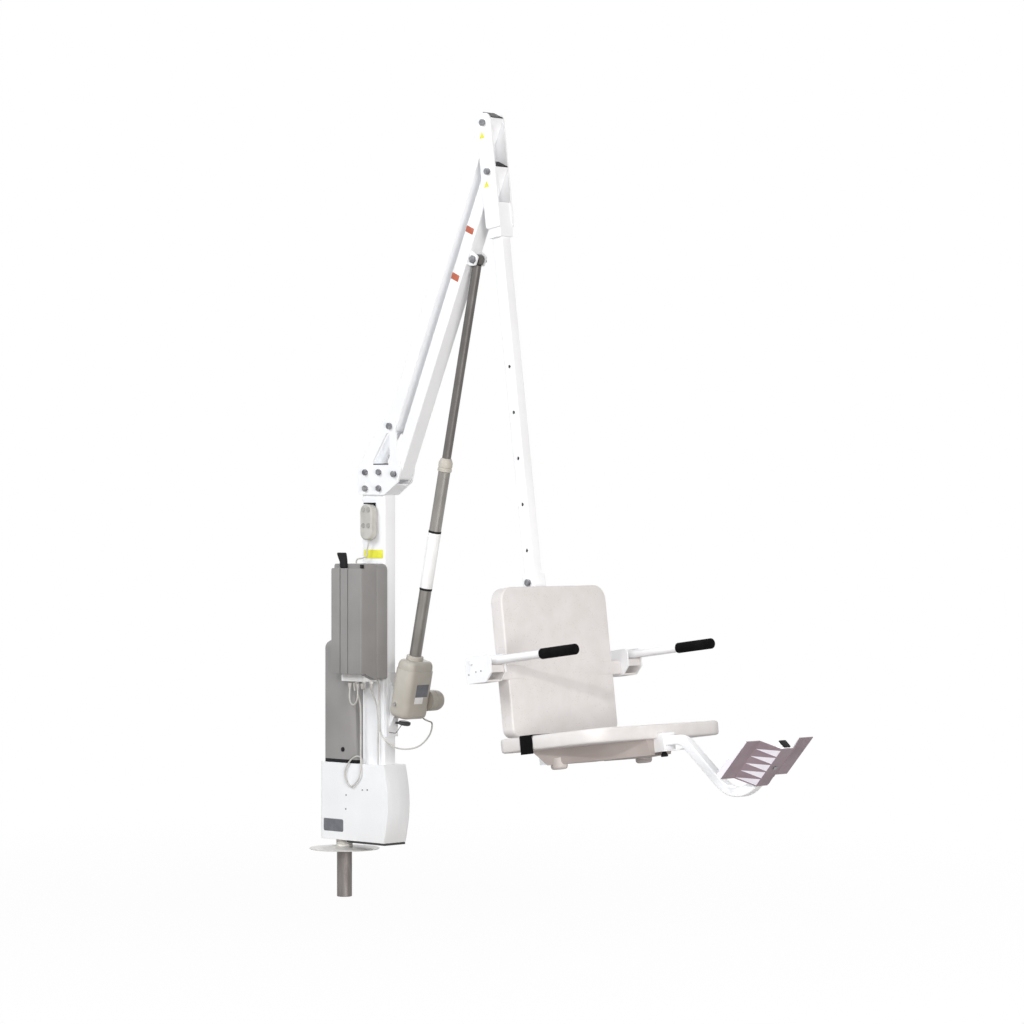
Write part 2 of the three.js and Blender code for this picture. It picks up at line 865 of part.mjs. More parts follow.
// Outline of the motor cover at one height: its front corners are cut by a facet that widens upward
function coverOutline(z, inset, shell) {
  const half = motorCoverHalfWidth - inset;
  const share = half / motorCoverHalfWidth;
  const rise = (z - coverFootZ) / (motorCoverTopZ - coverFootZ);
  const facetX = THREE.MathUtils.lerp(facetFootX, facetTopX, rise) - shell;
  const noseX = mastBackX - fitGap - shell;
  const backX = motorCoverBackX + inset;
  const corner = motorCoverRadius * share;
  const nose = motorCoverNose * share;
  const neckX = noseX - fitGap - motorCoverNoseRun * Math.max(0, rise);
  return [
    [noseX, -nose],
    [noseX, nose],
    [neckX, nose],
    [Math.min(facetX, neckX), half],
    [backX, half, corner],
    [backX, -half, corner],
    [Math.min(facetX, neckX), -half],
    [neckX, -nose],
  ];
}

function coverSkin(shell) {
  const topRadius = motorCoverTopRadius - shell;
  const shoulder = motorCoverTopZ - motorCoverTopRadius;
  const heights = [[coverFootZ - (shell > 0 ? cutOverrun : 0), 0]];
  for (let k = 0; k <= domeLevels; k += 1) {
    const angle = (Math.PI * k) / (2 * domeLevels);
    heights.push([shoulder + topRadius * Math.sin(angle), topRadius * (1 - Math.cos(angle))]);
  }
  return skinned(heights.map(([z, draw]) => {
    const outline = rounded(coverOutline(z, shell + draw, shell));
    return outline.map(({ x, y }) => [x, y, z]);
  }));
}

function motorCover() {
  return coverSkin(0).subtract(coverSkin(motorCoverWall));
}

function coverSeal() {
  const foot = baseTopZ + fitGap;
  const outer = alongZ(coverOutline(coverFootZ, 0, 0), foot, foot + sealHeight);
  const inside = coverOutline(coverFootZ, sealWidth, sealWidth);
  return outer.subtract(alongZ(inside, foot - cutOverrun, foot + sealHeight + cutOverrun));
}

// Mast and knuckle
const knuckleBox = [
  mastBackX - knuckleBehind,
  kneeZ - knuckleFoot,
  lowerKnee.x + knuckleFront - mastBackX + knuckleBehind,
  upperKnee.z + knuckleTop - kneeZ + knuckleFoot,
];
const mastBolts = mastBoltDepthShares.flatMap((share) => [0, mastBoltPitch].map((rise) => (
  [mastBackX + share * mastDepth, knuckleBox[1] + mastBoltRise + rise]
)));

function mastTube() {
  const foot = frameFloorZ + floorThickness + fitGap;
  const outer = alongZ(
    rectangle(mastBackX, mastFrontX, -mastHalfWidth, mastHalfWidth, mastCorner), foot, mastTopZ,
  );
  const inner = alongZ(rectangle(
    mastBackX + mastWall, mastFrontX - mastWall, -mastHalfWidth + mastWall,
    mastHalfWidth - mastWall, mastCorner - mastWall,
  ), foot - cutOverrun, mastTopZ - mastCapThickness);
  const holes = mastBolts.map(([x, z]) => (
    crossBar(x, z, mastBoltRadius + boltFit, -mastWidth, mastWidth)
  ));
  return outer.subtract(inner).subtract(joined(holes));
}

function armBracket() {
  const plate = alongY(spread(knuckleOutlineShares, ...knuckleBox), plateInnerY, plateOuterY);
  const window = alongY(
    spread(knuckleWindowShares, ...knuckleBox), plateInnerY - cutOverrun, plateOuterY + cutOverrun,
  );
  const webEnd = plateInnerY + weldLap;
  const web = alongY(spread(knuckleWebShares, ...knuckleBox), -webEnd, webEnd);
  const bolts = mastBolts.map(([x, z]) => {
    const headEnd = plateOuterY + mastBoltHeadHeight;
    const head = crossBar(x, z, mastBoltHeadRadius, plateOuterY - weldLap, headEnd, hexSides);
    return bothSides(head).add(crossBar(x, z, mastBoltRadius, -plateOuterY, plateOuterY));
  });
  const bores = [lowerKnee, upperKnee].map(({ x, z }) => (
    crossBar(x, z, pivotBoreRadius, -mastWidth, mastWidth)
  ));
  return joined([bothSides(plate.subtract(window)), web, ...bolts]).subtract(joined(bores));
}

function pivotBolt() {
  const inner = plateOuterY + fitGap;
  const outer = inner + pivotHeadHeight;
  return turnToY(turned([
    [0, -outer],
    [pivotHeadRadius, -outer],
    [pivotHeadRadius, -inner],
    [pivotRadius, -inner],
    [pivotRadius, inner],
    [pivotHeadRadius, inner],
    [pivotHeadRadius, outer],
    [0, outer],
  ], smallSides));
}

// Actuator bracket, pin and its lanyard
function actuatorBracket() {
  const { x: pinX, z: pinZ } = actuatorFoot;
  const faceX = mastFrontX + fitGap;
  const flangeX = faceX + bracketFlangeThickness;
  const flange = block(
    faceX, flangeX, -bracketFlangeHalfWidth, bracketFlangeHalfWidth, bracketBottomZ, bracketTopZ,
  );
  const tongue = alongY([
    [flangeX - weldLap, pinZ - tongueFlare],
    [flangeX + tongueWaist, pinZ - tongueNose],
    [pinX + tongueNose, pinZ - tongueNose, tongueNoseRadius],
    [pinX + tongueNose, pinZ + tongueNose, tongueNoseRadius],
    [flangeX + tongueWaist, pinZ + tongueNose],
    [flangeX - weldLap, pinZ + tongueFlare],
  ], -tongueHalfWidth, tongueHalfWidth);
  const bore = crossBar(pinX, pinZ, actuatorPinRadius + boltFit, -mastWidth, mastWidth);
  return flange.add(tongue).subtract(bore);
}

function actuatorPin() {
  const inner = housingHalfWidth + fitGap;
  const outer = inner + actuatorPinHeadHeight;
  return turnToY(turned([
    [0, -outer],
    [actuatorPinHeadRadius, -outer],
    [actuatorPinHeadRadius, -inner],
    [actuatorPinRadius, -inner],
    [actuatorPinRadius, housingHalfWidth - fitGap],
    [0, housingHalfWidth - fitGap],
  ], smallSides)).translate([actuatorFoot.x, 0, actuatorFoot.z]);
}

// Control box, connectors and battery on the near side of the mast
const stripBackX = boxBackX + stripInset;
const stripFrontX = boxFrontX - boxStepFront - stripInset;
const stripTopZ = boxBottomZ + boxStepHeight - fitGap;
const plugX = stripPlugShares.map((share) => THREE.MathUtils.lerp(stripBackX, stripFrontX, share));

function controlBox() {
  const stepZ = boxBottomZ + boxStepHeight;
  return alongY([
    [boxBackX, stepZ, boxFootCorner],
    [boxFrontX - boxStepFront, stepZ],
    [boxFrontX, boxBottomZ, boxFootCorner],
    [boxFrontX, boxTopZ, boxCorner],
    [boxBackX, boxTopZ, boxCorner],
  ], boxOuterY, boxInnerY, boxEdge);
}

function connectorStrip() {
  const bar = block(
    stripBackX, stripFrontX, stripOuterY, stripInnerY, boxBottomZ, stripTopZ,
  );
  const plugs = plugX.map((x) => (
    rod(stripPlugRadius, boxBottomZ - stripPlugDrop, boxBottomZ + weldLap, smallSides)
      .translate([x, stripPlugY, 0])
  ));
  return joined([bar, ...plugs]);
}

function batteryPack() {
  const innerY = boxOuterY - fitGap;
  const outline = rectangle(boxBackX, boxFrontX, batteryBottomZ, batteryTopZ, batteryCorner);
  const pack = alongY(outline, batteryOuterY, innerY, batteryEdge);
  const crownTop = batteryTopZ + batteryCrown;
  const crown = alongY([
    [boxBackX, batteryTopZ - batteryCrown],
    [boxFrontX, batteryTopZ - batteryCrown],
    [boxFrontX, crownTop, batteryEdge],
    [boxBackX, crownTop, batteryCrownCorner],
  ], batteryOuterY + batteryShell, innerY);
  const heel = alongX([
    [innerY, batteryBottomZ - batteryHeel],
    [innerY, batteryBottomZ + batteryHeel],
    [innerY - batteryHeelRun, batteryBottomZ + batteryHeel],
    [innerY - batteryHeelRun, batteryBottomZ],
  ], boxFrontX - boxStepFront, boxFrontX);
  const grooves = grooveShares.map((share) => {
    const x = THREE.MathUtils.lerp(boxBackX, boxFrontX, share);
    return block(
      x - grooveWidth / 2, x + grooveWidth / 2, batteryOuterY - cutOverrun,
      batteryOuterY + grooveDepth, batteryBottomZ - cutOverrun, batteryTopZ + cutOverrun,
    );
  });
  return joined([pack, crown, heel]).subtract(joined(grooves));
}

// Release lever of the battery, a tapered paddle with a rounded foot
function batteryLever() {
  const foot = batteryTopZ + fitGap;
  const top = foot + leverRise;
  const backY = batteryOuterY + batteryShell - fitGap;
  const paddle = alongY(
    spread(leverOutlineShares, leverBackX, foot, leverWidth, leverRise), backY - leverThickness, backY,
  );
  const round = alongX(rectangle(
    backY - leverThickness, backY, foot, top, leverThickness / 2 - weldLap,
  ), leverBackX - cutOverrun, leverBackX + leverWidth + cutOverrun);
  return paddle.intersect(round);
}

// Hand control, its hook and its four buttons
const hookFaceY = -mastHalfWidth - fitGap - hookPlateThickness;
const handsetInnerY = hookFaceY - fitGap;
const handsetOuterY = handsetInnerY - handsetThickness;
const handsetMiddleX = handsetBackX + handsetWidth / 2;
const handsetTopZ = handsetBottomZ + handsetLength;
const buttonPlaces = buttonRowShares.flatMap((rowShare) => buttonColumnShares.map((columnShare) => ({
  x: handsetBackX + columnShare * handsetWidth,
  z: handsetBottomZ + rowShare * handsetLength,
})));

function handsetHook() {
  const back = handsetMiddleX - hookWidth / 2;
  const front = handsetMiddleX + hookWidth / 2;
  const lipFoot = handsetTopZ + fitGap;
  const lipTop = lipFoot + hookLipThickness;
  const plate = block(back, front, hookFaceY, -mastHalfWidth - fitGap, lipTop - hookHeight, lipTop);
  return plate.add(block(back, front, hookFaceY - hookLipDepth, hookFaceY + weldLap, lipFoot, lipTop));
}

function handControl() {
  const outline = rectangle(
    handsetBackX, handsetBackX + handsetWidth, handsetBottomZ, handsetTopZ, handsetRadius,
  );
  const body = alongY(outline, handsetOuterY, handsetInnerY, handsetEdge);
  const pocketEnd = handsetOuterY + buttonDepth + 2 * buttonProud;
  const pockets = buttonPlaces.map(({ x, z }) => (
    crossBar(x, z, buttonRadius + fitGap, handsetOuterY - cutOverrun, pocketEnd)
  ));
  return body.subtract(joined(pockets));
}

function pushButton({ x, z }) {
  const face = handsetOuterY - buttonProud;
  return turnToY(turned([
    [0, face],
    [buttonRadius - buttonEdge, face],
    [buttonRadius, face + buttonEdge],
    [buttonRadius, handsetOuterY + buttonDepth],
    [0, handsetOuterY + buttonDepth],
  ], smallSides)).translate([x, 0, z]);
}

// Arms, drawn lying along X from their knee pivot
function armTube() {
  const half = armDepth / 2;
  const side = armWidth / 2;
  const end = armLength + armTipOverrun;
  const outer = alongY([
    [-half, -half, armKneeRound],
    [end, -half],
    [end, half],
    [-half, half, armKneeRound],
  ], -side, side);
  const inner = block(
    -half - cutOverrun, end + cutOverrun, armWall - side, side - armWall,
    armWall - half, half - armWall,
  );
  const bushes = [0, armLength].map((x) => crossBar(x, 0, bushRadius, -side, side));
  const bores = [0, armLength].map((x) => crossBar(x, 0, pivotBoreRadius, -armWidth, armWidth));
  return outer.subtract(inner).add(joined(bushes)).subtract(joined(bores));
}

function lowerArm() {
  const root = armWall - armDepth / 2;
  const tip = -earOffset - earTipMargin;
  const ear = alongY([
    [earAlongArm - earHalfLength, root],
    [earAlongArm - earHalfLength, -earOffset / 2 - earTipMargin],
    [earAlongArm - earTipMargin, tip, earTipMargin / 2],
    [earAlongArm + earTipMargin, tip, earTipMargin / 2],
    [earAlongArm + earHalfLength, -earOffset / 2 - earTipMargin],
    [earAlongArm + earHalfLength, root],
  ], earInner, earInner + earThickness);
  const stub = crossBar(
    earAlongArm, -earOffset, pivotHeadRadius, earInner + weldLap,
    earInner + earThickness + earStubHeight, hexSides,
  );
  return armTube().add(bothSides(ear.add(stub)));
}

function armCap() {
  const half = armDepth / 2;
  const side = armWidth / 2;
  const faceFoot = armLength + armTipOverrun + fitGap;
  const wall = armWall + fitGap;
  const face = alongX(
    rectangle(-side, side, -half, half, capThickness), faceFoot, faceFoot + capThickness,
  );
  const plug = block(
    faceFoot - capPlugLength, faceFoot + weldLap, wall - side, side - wall, wall - half, half - wall,
  );
  return face.add(plug);
}

// Actuator, drawn lying along X from its foot pin, its mast side toward +Z
function actuatorHousing() {
  const outline = rectangle(
    -housingHalfWidth, housingHalfWidth, -housingFront, housingBack, housingCorner,
  );
  const body = alongX(outline, -housingTail, housingHead, housingEdge);
  const neck = turnToX(rod(neckRadius, housingHead - weldLap, housingHead + neckLength));
  const fork = block(
    -housingTail - cutOverrun, forkHead, -forkHalfWidth, forkHalfWidth,
    -forkFront, housingBack + cutOverrun,
  );
  const bore = crossBar(0, 0, actuatorPinRadius + boltFit, -2 * housingHalfWidth, housingHalfWidth);
  return body.add(neck).subtract(fork).subtract(bore);
}

function actuatorMotor() {
  const foot = housingHalfWidth + fitGap;
  const end = foot + actuatorMotorLength;
  return turnToY(turned([
    [0, foot],
    [actuatorMotorRadius, foot],
    [actuatorMotorRadius, end - actuatorMotorEdge],
    [actuatorMotorRadius - actuatorMotorEdge / 2, end - actuatorMotorEdge / 4],
    [actuatorMotorRadius - actuatorMotorEdge, end],
    [0, end],
  ])).translate([actuatorMotorRise, 0, -actuatorMotorForward]);
}

function actuatorTube() {
  const foot = housingHead + neckLength + fitGap;
  return turnToX(turned([
    [0, foot],
    [tubeRadius, foot],
    [tubeRadius, tubeTopAlong],
    [tubeBoreRadius, tubeTopAlong],
    [tubeBoreRadius, foot + tubeFloor],
    [0, foot + tubeFloor],
  ]));
}

function actuatorCollar() {
  const foot = tubeTopAlong + fitGap;
  return turnToX(ring(rodRadius + fitGap, rodCollarRadius, foot, foot + rodCollarLength));
}

function actuatorRod() {
  const shaft = turnToX(rod(rodRadius, rodFootAlong, actuatorLength - rodEyeRadius + weldLap));
  const eye = crossBar(
    actuatorLength, 0, rodEyeRadius, -rodEyeHalfWidth, rodEyeHalfWidth, roundSides,
  );
  const bore = crossBar(actuatorLength, 0, pivotBoreRadius, -armWidth, armWidth);
  return shaft.add(eye).subtract(bore);
}

// Hanger, drawn upright with its height counted from the top of the seat
const lowerPivotHeight = hangerDrop;
const upperPivotHeight = hangerDrop + linkLength;
const tubeBoreHalf = hangerTubeHalf + fitGap;

function hangerHead() {
  const top = upperPivotHeight + hangerPlateHalf;
  const foot = lowerPivotHeight - hangerPlateFoot;
  const plate = alongY([
    [-hangerPlateHalf, foot, hangerPlateFootRadius],
    [hangerPlateHalf, foot, hangerPlateFootRadius],
    [hangerPlateHalf, top, hangerPlateRadius],
    [-hangerPlateHalf, top, hangerPlateRadius],
  ], plateInnerY, plateOuterY);
  const sleeveSide = plateInnerY + weldLap;
  const sleeve = alongZ(
    rectangle(-sleeveHalf, sleeveHalf, -sleeveSide, sleeveSide),
    lowerPivotHeight - sleeveFoot, lowerPivotHeight - sleeveTop,
  );
  const hole = alongZ(
    rectangle(-tubeBoreHalf, tubeBoreHalf, -tubeBoreHalf, tubeBoreHalf),
    lowerPivotHeight - sleeveFoot - cutOverrun, lowerPivotHeight - sleeveTop + cutOverrun,
  );
  const bores = [lowerPivotHeight, upperPivotHeight].map((height) => (
    crossBar(0, height, pivotBoreRadius, -armWidth, armWidth)
  ));
  return bothSides(plate).add(sleeve).subtract(hole).subtract(joined(bores));
}

function hangerTube() {
  const half = hangerTubeHalf;
  const inner = hangerTubeHalf - hangerTubeWall;
  const top = lowerPivotHeight - hangerTubeTop;
  const outer = alongZ(rectangle(-half, half, -half, half, hangerTubeWall), hangerTubeFoot, top);
  const bore = alongZ(
    rectangle(-inner, inner, -inner, inner), hangerTubeFoot - cutOverrun, top + cutOverrun,
  );
  const holes = [crossBar(0, adjustPinHeight, adjustPinRadius + boltFit, -armWidth, armWidth)];
  for (let k = 0; k < adjustCount; k += 1) {
    holes.push(crossBar(0, adjustFirst + k * adjustPitch, adjustHoleRadius, -armWidth, armWidth));
  }
  return outer.subtract(bore).subtract(joined(holes));
}

function adjustingPin() {
  const inner = sleeveHalf + fitGap;
  const outer = inner + adjustPinHeadHeight;
  return turnToY(turned([
    [0, -outer],
    [adjustPinHead, -outer],
    [adjustPinHead, -inner],
    [adjustPinRadius, -inner],
    [adjustPinRadius, outer],
    [0, outer],
  ], smallSides)).translate([0, 0, adjustPinHeight]);
}

// Seat frame: one weldment of socket, rails, receiver, latch plate and armrest brackets
const backrestBack = backrestFront - backrestThickness;
const barFloor = barHeight - barThickness / 2;

function armrestBracket() {
  const outline = [
    [armBracketBack, armBracketBottom, armBracketCorner],
    [armBracketFront - armBracketChamfer, armBracketBottom],
    [armBracketFront, armBracketBottom + armBracketChamfer],
    [armBracketFront, armBracketTop, armBracketCorner],
    [armBracketBack, armBracketTop, armBracketCorner],
  ];
  const innerFace = armBracketInnerY + armBracketPlate;
  const outerFace = armBracketOuterY - armBracketPlate;
  const plates = alongY(outline, armBracketInnerY, innerFace)
    .add(alongY(outline, outerFace, armBracketOuterY));
  const backFrontX = armBracketBack + armBracketWeb;
  const webs = joined([
    block(
      armBracketBack, backFrontX, innerFace - weldLap, outerFace + weldLap,
      armBracketBottom + armBracketCorner, armBracketTop - armBracketCorner,
    ),
    block(
      backFrontX, armBracketFront - armBracketChamfer, innerFace - weldLap, outerFace + weldLap,
      armBracketBottom, armBracketBottom + armBracketWeb,
    ),
    block(
      armBracketFront - 2 * armBracketWeb, armBracketFront - armBracketWeb,
      innerFace - weldLap, outerFace + weldLap,
      armBracketBottom + armBracketChamfer, armrestStopTop,
    ),
  ]);
  const collar = armrestRadius + fitGap;
  const pin = joined([
    crossBar(
      armrestPivotForward, armrestHeight, armrestPinRadius,
      innerFace - weldLap, armBracketOuterY + armrestPinRadius,
    ),
    crossBar(
      armrestPivotForward, armrestHeight, armrestPinCollar, innerFace - weldLap, armrestY - collar,
    ),
    crossBar(
      armrestPivotForward, armrestHeight, armrestPinCollar, armrestY + collar, outerFace + weldLap,
    ),
  ]);
  return joined([plates, webs, pin]);
}

function seatFrame() {
  const socket = alongZ(
    rectangle(-sleeveHalf, sleeveHalf, -sleeveHalf, sleeveHalf, hangerTubeWall),
    railBottom, socketTop,
  );
  const rail = block(
    0, railFront, -railHalfWidth, railHalfWidth, railBottom, railTop,
  );
  const hollow = block(
    sleeveHalf + railWall, railBlockBack, railWall - railHalfWidth, railHalfWidth - railWall,
    railBottom + railWall, railTop - railWall,
  );
  const slot = block(
    railBlockBack - cutOverrun, railFront + cutOverrun, -barHalfWidth - fitGap,
    barHalfWidth + fitGap, barFloor - fitGap, barHeight + barThickness / 2 + fitGap,
  );
  const crossRail = block(
    0, backrestBack - fitGap, -armBracketInnerY - weldLap, armBracketInnerY + weldLap,
    crossRailBottom, crossRailTop,
  );
  const latch = block(
    railBlockBack, latchFront, -latchHalfWidth, latchHalfWidth,
    railBottom, railBottom + latchThickness,
  );
  const latchSlot = block(
    latchSlotBack, latchSlotFront, -latchSlotHalf, latchSlotHalf,
    railBottom - cutOverrun, railBottom + cutOverrun,
  );
  const tubeBore = alongZ(
    rectangle(-tubeBoreHalf, tubeBoreHalf, -tubeBoreHalf, tubeBoreHalf), 0, socketTop + cutOverrun,
  );
  const knobHole = rod(
    knobStemRadius + fitGap, railBottom - cutOverrun, barHeight, smallSides,
  ).translate([knobForward, 0, 0]);
  const pinHole = crossBar(0, adjustPinHeight, adjustPinRadius + boltFit, -armWidth, armWidth);
  return joined([socket, rail, crossRail, latch, bothSides(armrestBracket())])
    .subtract(joined([hollow, slot, latchSlot, tubeBore, knobHole, pinHole]));
}

function backrest() {
  const shell = alongX([
    [-backrestHalfWidth, backrestBottom, backrestFootCorner],
    [backrestHalfWidth, backrestBottom, backrestFootCorner],
    [backrestHalfWidth, backrestTop, backrestCorner],
    [-backrestHalfWidth, backrestTop, backrestCorner],
  ], backrestBack, backrestFront, backrestEdge);
  const wingSide = armBracketInnerY - fitGap;
  const wings = alongX(
    rectangle(-wingSide, wingSide, wingBottom, wingTop, wingCorner),
    backrestBack, backrestFront, wingCorner / 2,
  );
  return shell.add(wings);
}

function seatPan() {
  const rim = alongZ([
    [panBack, -panHalfWidth, panBackRadius],
    [panFront, -panHalfWidth, panFrontRadius],
    [panFront, panHalfWidth, panFrontRadius],
    [panBack, panHalfWidth, panBackRadius],
  ], -panRim, 0, panEdge);
  const wedgeTop = -panRim + panEdge;
  const wedge = skinned([
    [
      [wedgeBackLower, -wedgeLowerHalfWidth, -wedgeDepth],
      [wedgeFront, -wedgeFrontLowerHalfWidth, -wedgeDepth],
      [wedgeFront, wedgeFrontLowerHalfWidth, -wedgeDepth],
      [wedgeBackLower, wedgeLowerHalfWidth, -wedgeDepth],
    ],
    [
      [wedgeBack, -wedgeHalfWidth, wedgeTop],
      [wedgeFront, -wedgeFrontHalfWidth, wedgeTop],
      [wedgeFront, wedgeFrontHalfWidth, wedgeTop],
      [wedgeBack, wedgeHalfWidth, wedgeTop],
    ],
  ]);
  const foot = turned([
    [0, -footBottom],
    [footRadius / 2, -footBottom],
    [footRadius, -footBottom + footRadius / 2],
    [footRadius, wedgeTop],
    [0, wedgeTop],
  ], smallSides).translate([footAlong, footHalfSpacing, 0]);
  const channelHalf = railHalfWidth + fitGap;
  const channel = block(
    panBack - cutOverrun, panFront + cutOverrun, -channelHalf, channelHalf,
    -footBottom - cutOverrun, railTop + fitGap,
  );
  return joined([rim, wedge, bothSides(foot)]).subtract(channel);
}

function seatBelt() {
  const innerSide = panHalfWidth + fitGap;
  const outerSide = innerSide + beltThickness;
  const beltFront = beltBack + beltWidth;
  const strap = alongX(
    rectangle(-outerSide, outerSide, -beltDrop, fitGap + beltThickness), beltBack, beltFront,
  );
  const under = alongX(
    rectangle(-innerSide, innerSide, -beltDrop - cutOverrun, fitGap),
    beltBack - cutOverrun, beltFront + cutOverrun,
  );
  return strap.subtract(under);
}

// Armrests at one side, +1 or -1
function armrestTube(side) {
  const end = crossBar(
    armrestPivotForward, 0, armrestRadius, -armrestRadius, armrestRadius, smallSides,
  );
  const tube = turnToX(rod(armrestRadius, armrestPivotForward, armrestFront, smallSides));
  const hollow = turnToX(rod(
    armrestRadius - armrestWall, armrestPivotForward + 2 * armrestRadius,
    armrestFront + cutOverrun, smallSides,
  ));
  const bore = crossBar(
    armrestPivotForward, 0, armrestPinRadius + boltFit, -armWidth, armWidth,
  );
  return end.add(tube).subtract(hollow).subtract(bore)
    .translate([0, side * armrestY, armrestHeight]);
}

function armrestGrip(side) {
  const stop = armrestFront + fitGap;
  return turnToX(turned([
    [gripBore, gripBack],
    [gripRadius - gripBackEdge, gripBack],
    [gripRadius, gripBack + gripBackEdge],
    [gripRadius, gripFront - gripEdge],
    [gripRadius - gripEdge, gripFront],
    [0, gripFront],
    [0, stop],
    [gripBore, stop],
    [gripBore, gripBack],
  ], smallSides)).translate([0, side * armrestY, armrestHeight]);
}

// Footrest: the bar's second bend lies where its falling run meets the run above the trough
const footplateAlong = new THREE.Vector2(
  Math.cos(radians(footplateDeg)), Math.sin(radians(footplateDeg)),
);
const footplateUp = new THREE.Vector2(-footplateAlong.y, footplateAlong.x);
const barAboveFloor = footplateWall / 2 + fitGap + barThickness / 2 - troughDepth;

function barCentreLine(tailTrim, headTrim) {
  const first = new THREE.Vector2(barBendForward, barHeight);
  const fall = new THREE.Vector2(Math.cos(radians(barDropDeg)), Math.sin(radians(barDropDeg)));
  const plateFoot = new THREE.Vector2(footplateForward, footplateHeight)
    .addScaledVector(footplateUp, barAboveFloor);
  const reach = plateFoot.clone().sub(first).cross(footplateAlong) / fall.cross(footplateAlong);
  const second = first.clone().addScaledVector(fall, reach);
  const end = plateFoot.clone().addScaledVector(footplateAlong, footplateLength - headTrim);
  return rounded([
    [barTail + tailTrim, barHeight],
    [first.x, first.y, barBendRadius],
    [second.x, second.y, barLowRadius],
    [end.x, end.y],
  ]);
}

function footrestBar() {
  const outer = alongY(band(barCentreLine(0, 0), barThickness), -barHalfWidth, barHalfWidth);
  const wall = footplateWall;
  const inner = alongY(
    band(barCentreLine(-cutOverrun, wall), barThickness - 2 * wall),
    wall - barHalfWidth, barHalfWidth - wall,
  );
  return outer.subtract(inner);
}

// Footplate, drawn lying along X from its low end; the camera side is its underside
function footrestPlate() {
  const slopeY = troughHalfWidth + slopeWidth;
  const edgeY = slopeY + ledgeWidth;
  const fold = [
    [-edgeY, plateLipHeight], [-edgeY, 0], [-slopeY, 0], [-troughHalfWidth, -troughDepth],
    [troughHalfWidth, -troughDepth], [slopeY, 0], [edgeY, 0], [edgeY, plateLipHeight],
  ].map(([y, z]) => new THREE.Vector2(y, z));
  const sheet = alongX(band(fold, footplateWall), 0, footplateLength);
  const louvres = [];
  const pitch = footplateLength / louvreCount;
  for (let k = 0; k < louvreCount; k += 1) {
    louvres.push(bothSides(louvre(pitch * (k + (1 - louvreBaseShare) / 2), pitch * louvreBaseShare)));
  }
  const bolt = rod(
    footBoltRadius, -troughDepth - footplateWall / 2 - footBoltHeight, -troughDepth, hexSides,
  ).translate([footplateLength / 2, 0, 0]);
  return joined([sheet, ...louvres, bolt]);
}

// One pressed louvre under the slope on the +Y side: a low ramp with a step at its lower edge
function louvre(fromX, length) {
  const slope = new THREE.Vector2(slopeWidth, troughDepth);
  const outward = new THREE.Vector2(slope.y, -slope.x).normalize();
  const onSlope = (share) => new THREE.Vector2(troughHalfWidth, -troughDepth)
    .addScaledVector(slope, share);
  const root = onSlope(louvreTipShare / 2);
  const tip = onSlope(1 - louvreTipShare);
  const raised = root.clone().addScaledVector(outward, louvreRise);
  const corners = [
    [fromX, root.x, root.y],
    [fromX + length, root.x, root.y],
    [fromX, tip.x, tip.y],
    [fromX, raised.x, raised.y],
  ];
  const geometry = new THREE.BufferGeometry();
  geometry.setAttribute("position", new THREE.Float32BufferAttribute(corners.flat(), 3));
  geometry.setIndex([0, 1, 2, 0, 3, 1, 1, 3, 2, 2, 3, 0]);
  return solid(geometry);
}

function clampKnob() {
  const top = railBottom - fitGap;
  const foot = top - knobHeight;
  return turned([
    [0, foot],
    [knobWide, foot],
    [knobWide, foot + knobStemRadius],
    [knobNarrow, top],
    [knobStemRadius, top],
    [knobStemRadius, barFloor - 2 * fitGap],
    [0, barFloor - 2 * fitGap],
  ], smallSides).translate([knobForward, 0, 0]);
}

// Cord routes, chosen by hand
const handsetRoute = [
  [155.2, -41.6, 987.6], [153, -41.6, 972], [147, -41, 954], [147.6, -42, 939],
  [136, -49, 931], [121, -57, 928], [116, -58, 921], [116, -58, 914.4],
];
const motorRoute = [
  [212, -50, 552.2], [212, -50, 520], [212, -54, 440], [232, -60, 378], [290, -50, 338],
  [335, -5, 340], [344, 42, 376], [328, 69, 412], [307, 75, 417], [287, 75, 423], [273, 75, 436],
  [268.2, 75, 450], [268.5, 75, 462.1], [270.4, 75, 469.6], [275.7, 75, 474.5], [283.6, 75, 476.2],
];
const swivelRoute = [
  [110.8, -51, 535.6], [112, -50, 510], [121, -46, 470], [121, -43, 380], [125, -47, 310],
  [132, -53.5, 268], [128, -54.5, 240], [114, -54.5, 222], [91, -55, 206], [68, -54.5, 220],
  [60, -54, 250], [74, -54, 278], [95, -53, 297], [112, -48, 303], [121, -40, 296],
  [122, -38, 279.4],
];
const leadRoute = [
  [176.9, -51, 535.6], [178, -50, 512], [187, -40, 474], [190.6, -34, 430], [190.6, -34, 360],
  [190.6, -34, 300], [190.6, -34, 279.4],
];
const lanyardRoute = [
  [289.4, -60.3, 474.8], [289.4, -64, 468], [287, -63, 440], [283, -55, 402], [280, -42, 385],
  [262, -30, 381], [240, -22, 388], [228, -16, 397], [220.7, -15, 399],
];

// Assembly
function group(position, tiltedDeg, meshes) {
  const holder = new THREE.Group();
  holder.position.copy(position);
  holder.rotation.y = -radians(tiltedDeg);
  holder.add(...meshes);
  return holder;
}

const atOrigin = new THREE.Vector3();
const pivotAt = ({ x, z }) => pivotBolt().translate([x, 0, z]);

const anchor = group(atOrigin, 0, [
  meshOf("anchor_post", anchorPost(), galvanised),
  meshOf("deck_flange", deckFlange(), whitePaint),
  meshOf("swivel_collar", swivelCollar(), palePlastic),
  meshOf("fixed_gear", fixedGear(), bareSteel),
]);

